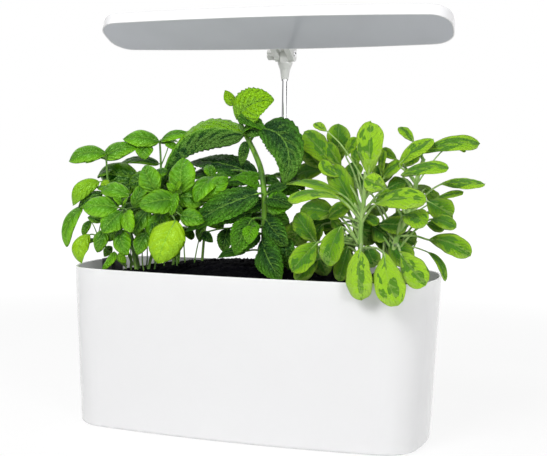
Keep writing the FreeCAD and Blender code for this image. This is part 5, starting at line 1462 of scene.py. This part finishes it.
@dataclass
class Studio:
    """Pale floor, white surroundings and soft lights."""

    floor_size: float = 12.0
    floor_gap: float = 0.0003
    floor_colour: Colour = (0.8, 0.8, 0.8)
    floor_glow: float = 1.06
    near_glow: float = 0.8
    near: float = 0.7
    far: float = 1.6
    below: float = 0.15
    above: float = 0.52
    flank: float = 0.1
    sky_range: tuple[float, float] = (-0.3, 0.9)
    flank_range: tuple[float, float] = (0.7, 0.93)
    lights: tuple[SoftLight, ...] = (
        SoftLight("key_light", (-0.8, -2.1, 2.0), (1.2, 1.0), 42.0),
        SoftLight("side_light", (2.1, -1.9, 0.8), (1.0, 0.8), 26.0),
    )

    def seen_directly(self, wires: Wiring) -> bpy.types.NodeSocket:
        """Give 1 for camera and transmission rays and 0 for the others."""
        path = wires.add("LightPath").outputs
        return wires.maths("MAXIMUM", path["Is Camera Ray"], path["Is Transmission Ray"])

    def mix_shaders(self, wires: Wiring, factor: object, first: bpy.types.Node,
                    second: bpy.types.Node) -> bpy.types.Node:
        """Mix two shaders.

        Args:
            wires: The wiring of the world or the material.
            factor: How much of the second shader shows.
            first: The first shader.
            second: The second shader.

        Returns:
            The mixing node.
        """
        mixed = wires.add("MixShader")
        for socket, value in zip(mixed.inputs, (factor, first.outputs[0], second.outputs[0])):
            wires.feed(socket, value)
        return mixed

    def build_world(self) -> None:
        """Make surroundings that are white to the eye and light the garden softly.

        Reflections are dimmer from the two sides, and the light is stronger from above.
        """
        world = bpy.data.worlds.new("studio")
        world.use_nodes = True
        wires = Wiring(world.node_tree)
        direction = wires.add("SeparateXYZ", Vector=wires.add("TexCoord").outputs["Generated"]).outputs
        sideways = wires.maths("ABSOLUTE", direction[0])
        level = wires.step(direction[2], *self.sky_range, self.below, self.above)
        mirrored = wires.step(sideways, *self.flank_range, 1.0, self.flank)
        lit, shown, glossy = (
            wires.add("Background", Strength=strength, Color=WHITE) for strength in (level, 1.0, mirrored)
        )
        path = wires.add("LightPath").outputs
        unseen = self.mix_shaders(wires, path["Is Glossy Ray"], lit, glossy)
        surroundings = self.mix_shaders(wires, self.seen_directly(wires), unseen, shown)
        wires.add("OutputWorld", Surface=surroundings.outputs[0])
        bpy.context.scene.world = world

    def build_floor(self) -> None:
        """Lay the pale floor, which keeps the garden's soft shadow."""
        maker = bmesh.new()
        bmesh.ops.create_grid(maker, x_segments=1, y_segments=1, size=self.floor_size)
        bmesh.ops.translate(maker, verts=maker.verts, vec=(0, 0, -self.floor_gap))
        material, wires = new_wiring("pale_floor")
        path = wires.add("LightPath").outputs
        away = wires.add("VectorMath", operation="LENGTH", Vector=wires.add("TexCoord").outputs["Object"])
        share = wires.step(away.outputs["Value"], self.near, self.far, self.near_glow, 1.0)
        straight = wires.maths("MAXIMUM", path["Is Camera Ray"], path["Is Glossy Ray"])
        matt = wires.add("BsdfDiffuse", Color=self.floor_colour)
        glow = wires.add("Emission", Color=WHITE, Strength=self.floor_glow)
        mixed = self.mix_shaders(wires, wires.maths("MULTIPLY", straight, share), matt, glow)
        wires.add("OutputMaterial", Surface=mixed.outputs[0])
        floor = new_piece("floor", maker, (material,), smooth=False)

    def build(self) -> None:
        """Build the floor, the surroundings and the lights."""
        self.build_world()
        self.build_floor()
        for light in self.lights:
            light.build()
        bpy.context.scene.view_settings.view_transform = "Standard"
        LOG.info("lit the studio with %d lights", len(self.lights))


def main() -> None:
    """Build the camera, the finishes, the plants and the studio in order."""
    logging.basicConfig(level=logging.INFO, format="%(message)s")
    Camera().build()
    dress_nodes()
    builders: list[Callable[[], bpy.types.Object]] = [MediumBed().build, RootPlugs().build]
    builders += [plant.build for plant in (BASIL, MINT, SAGE)]
    for build in builders:
        build()
    Studio().build()


if __name__ == "__main__":
    main()
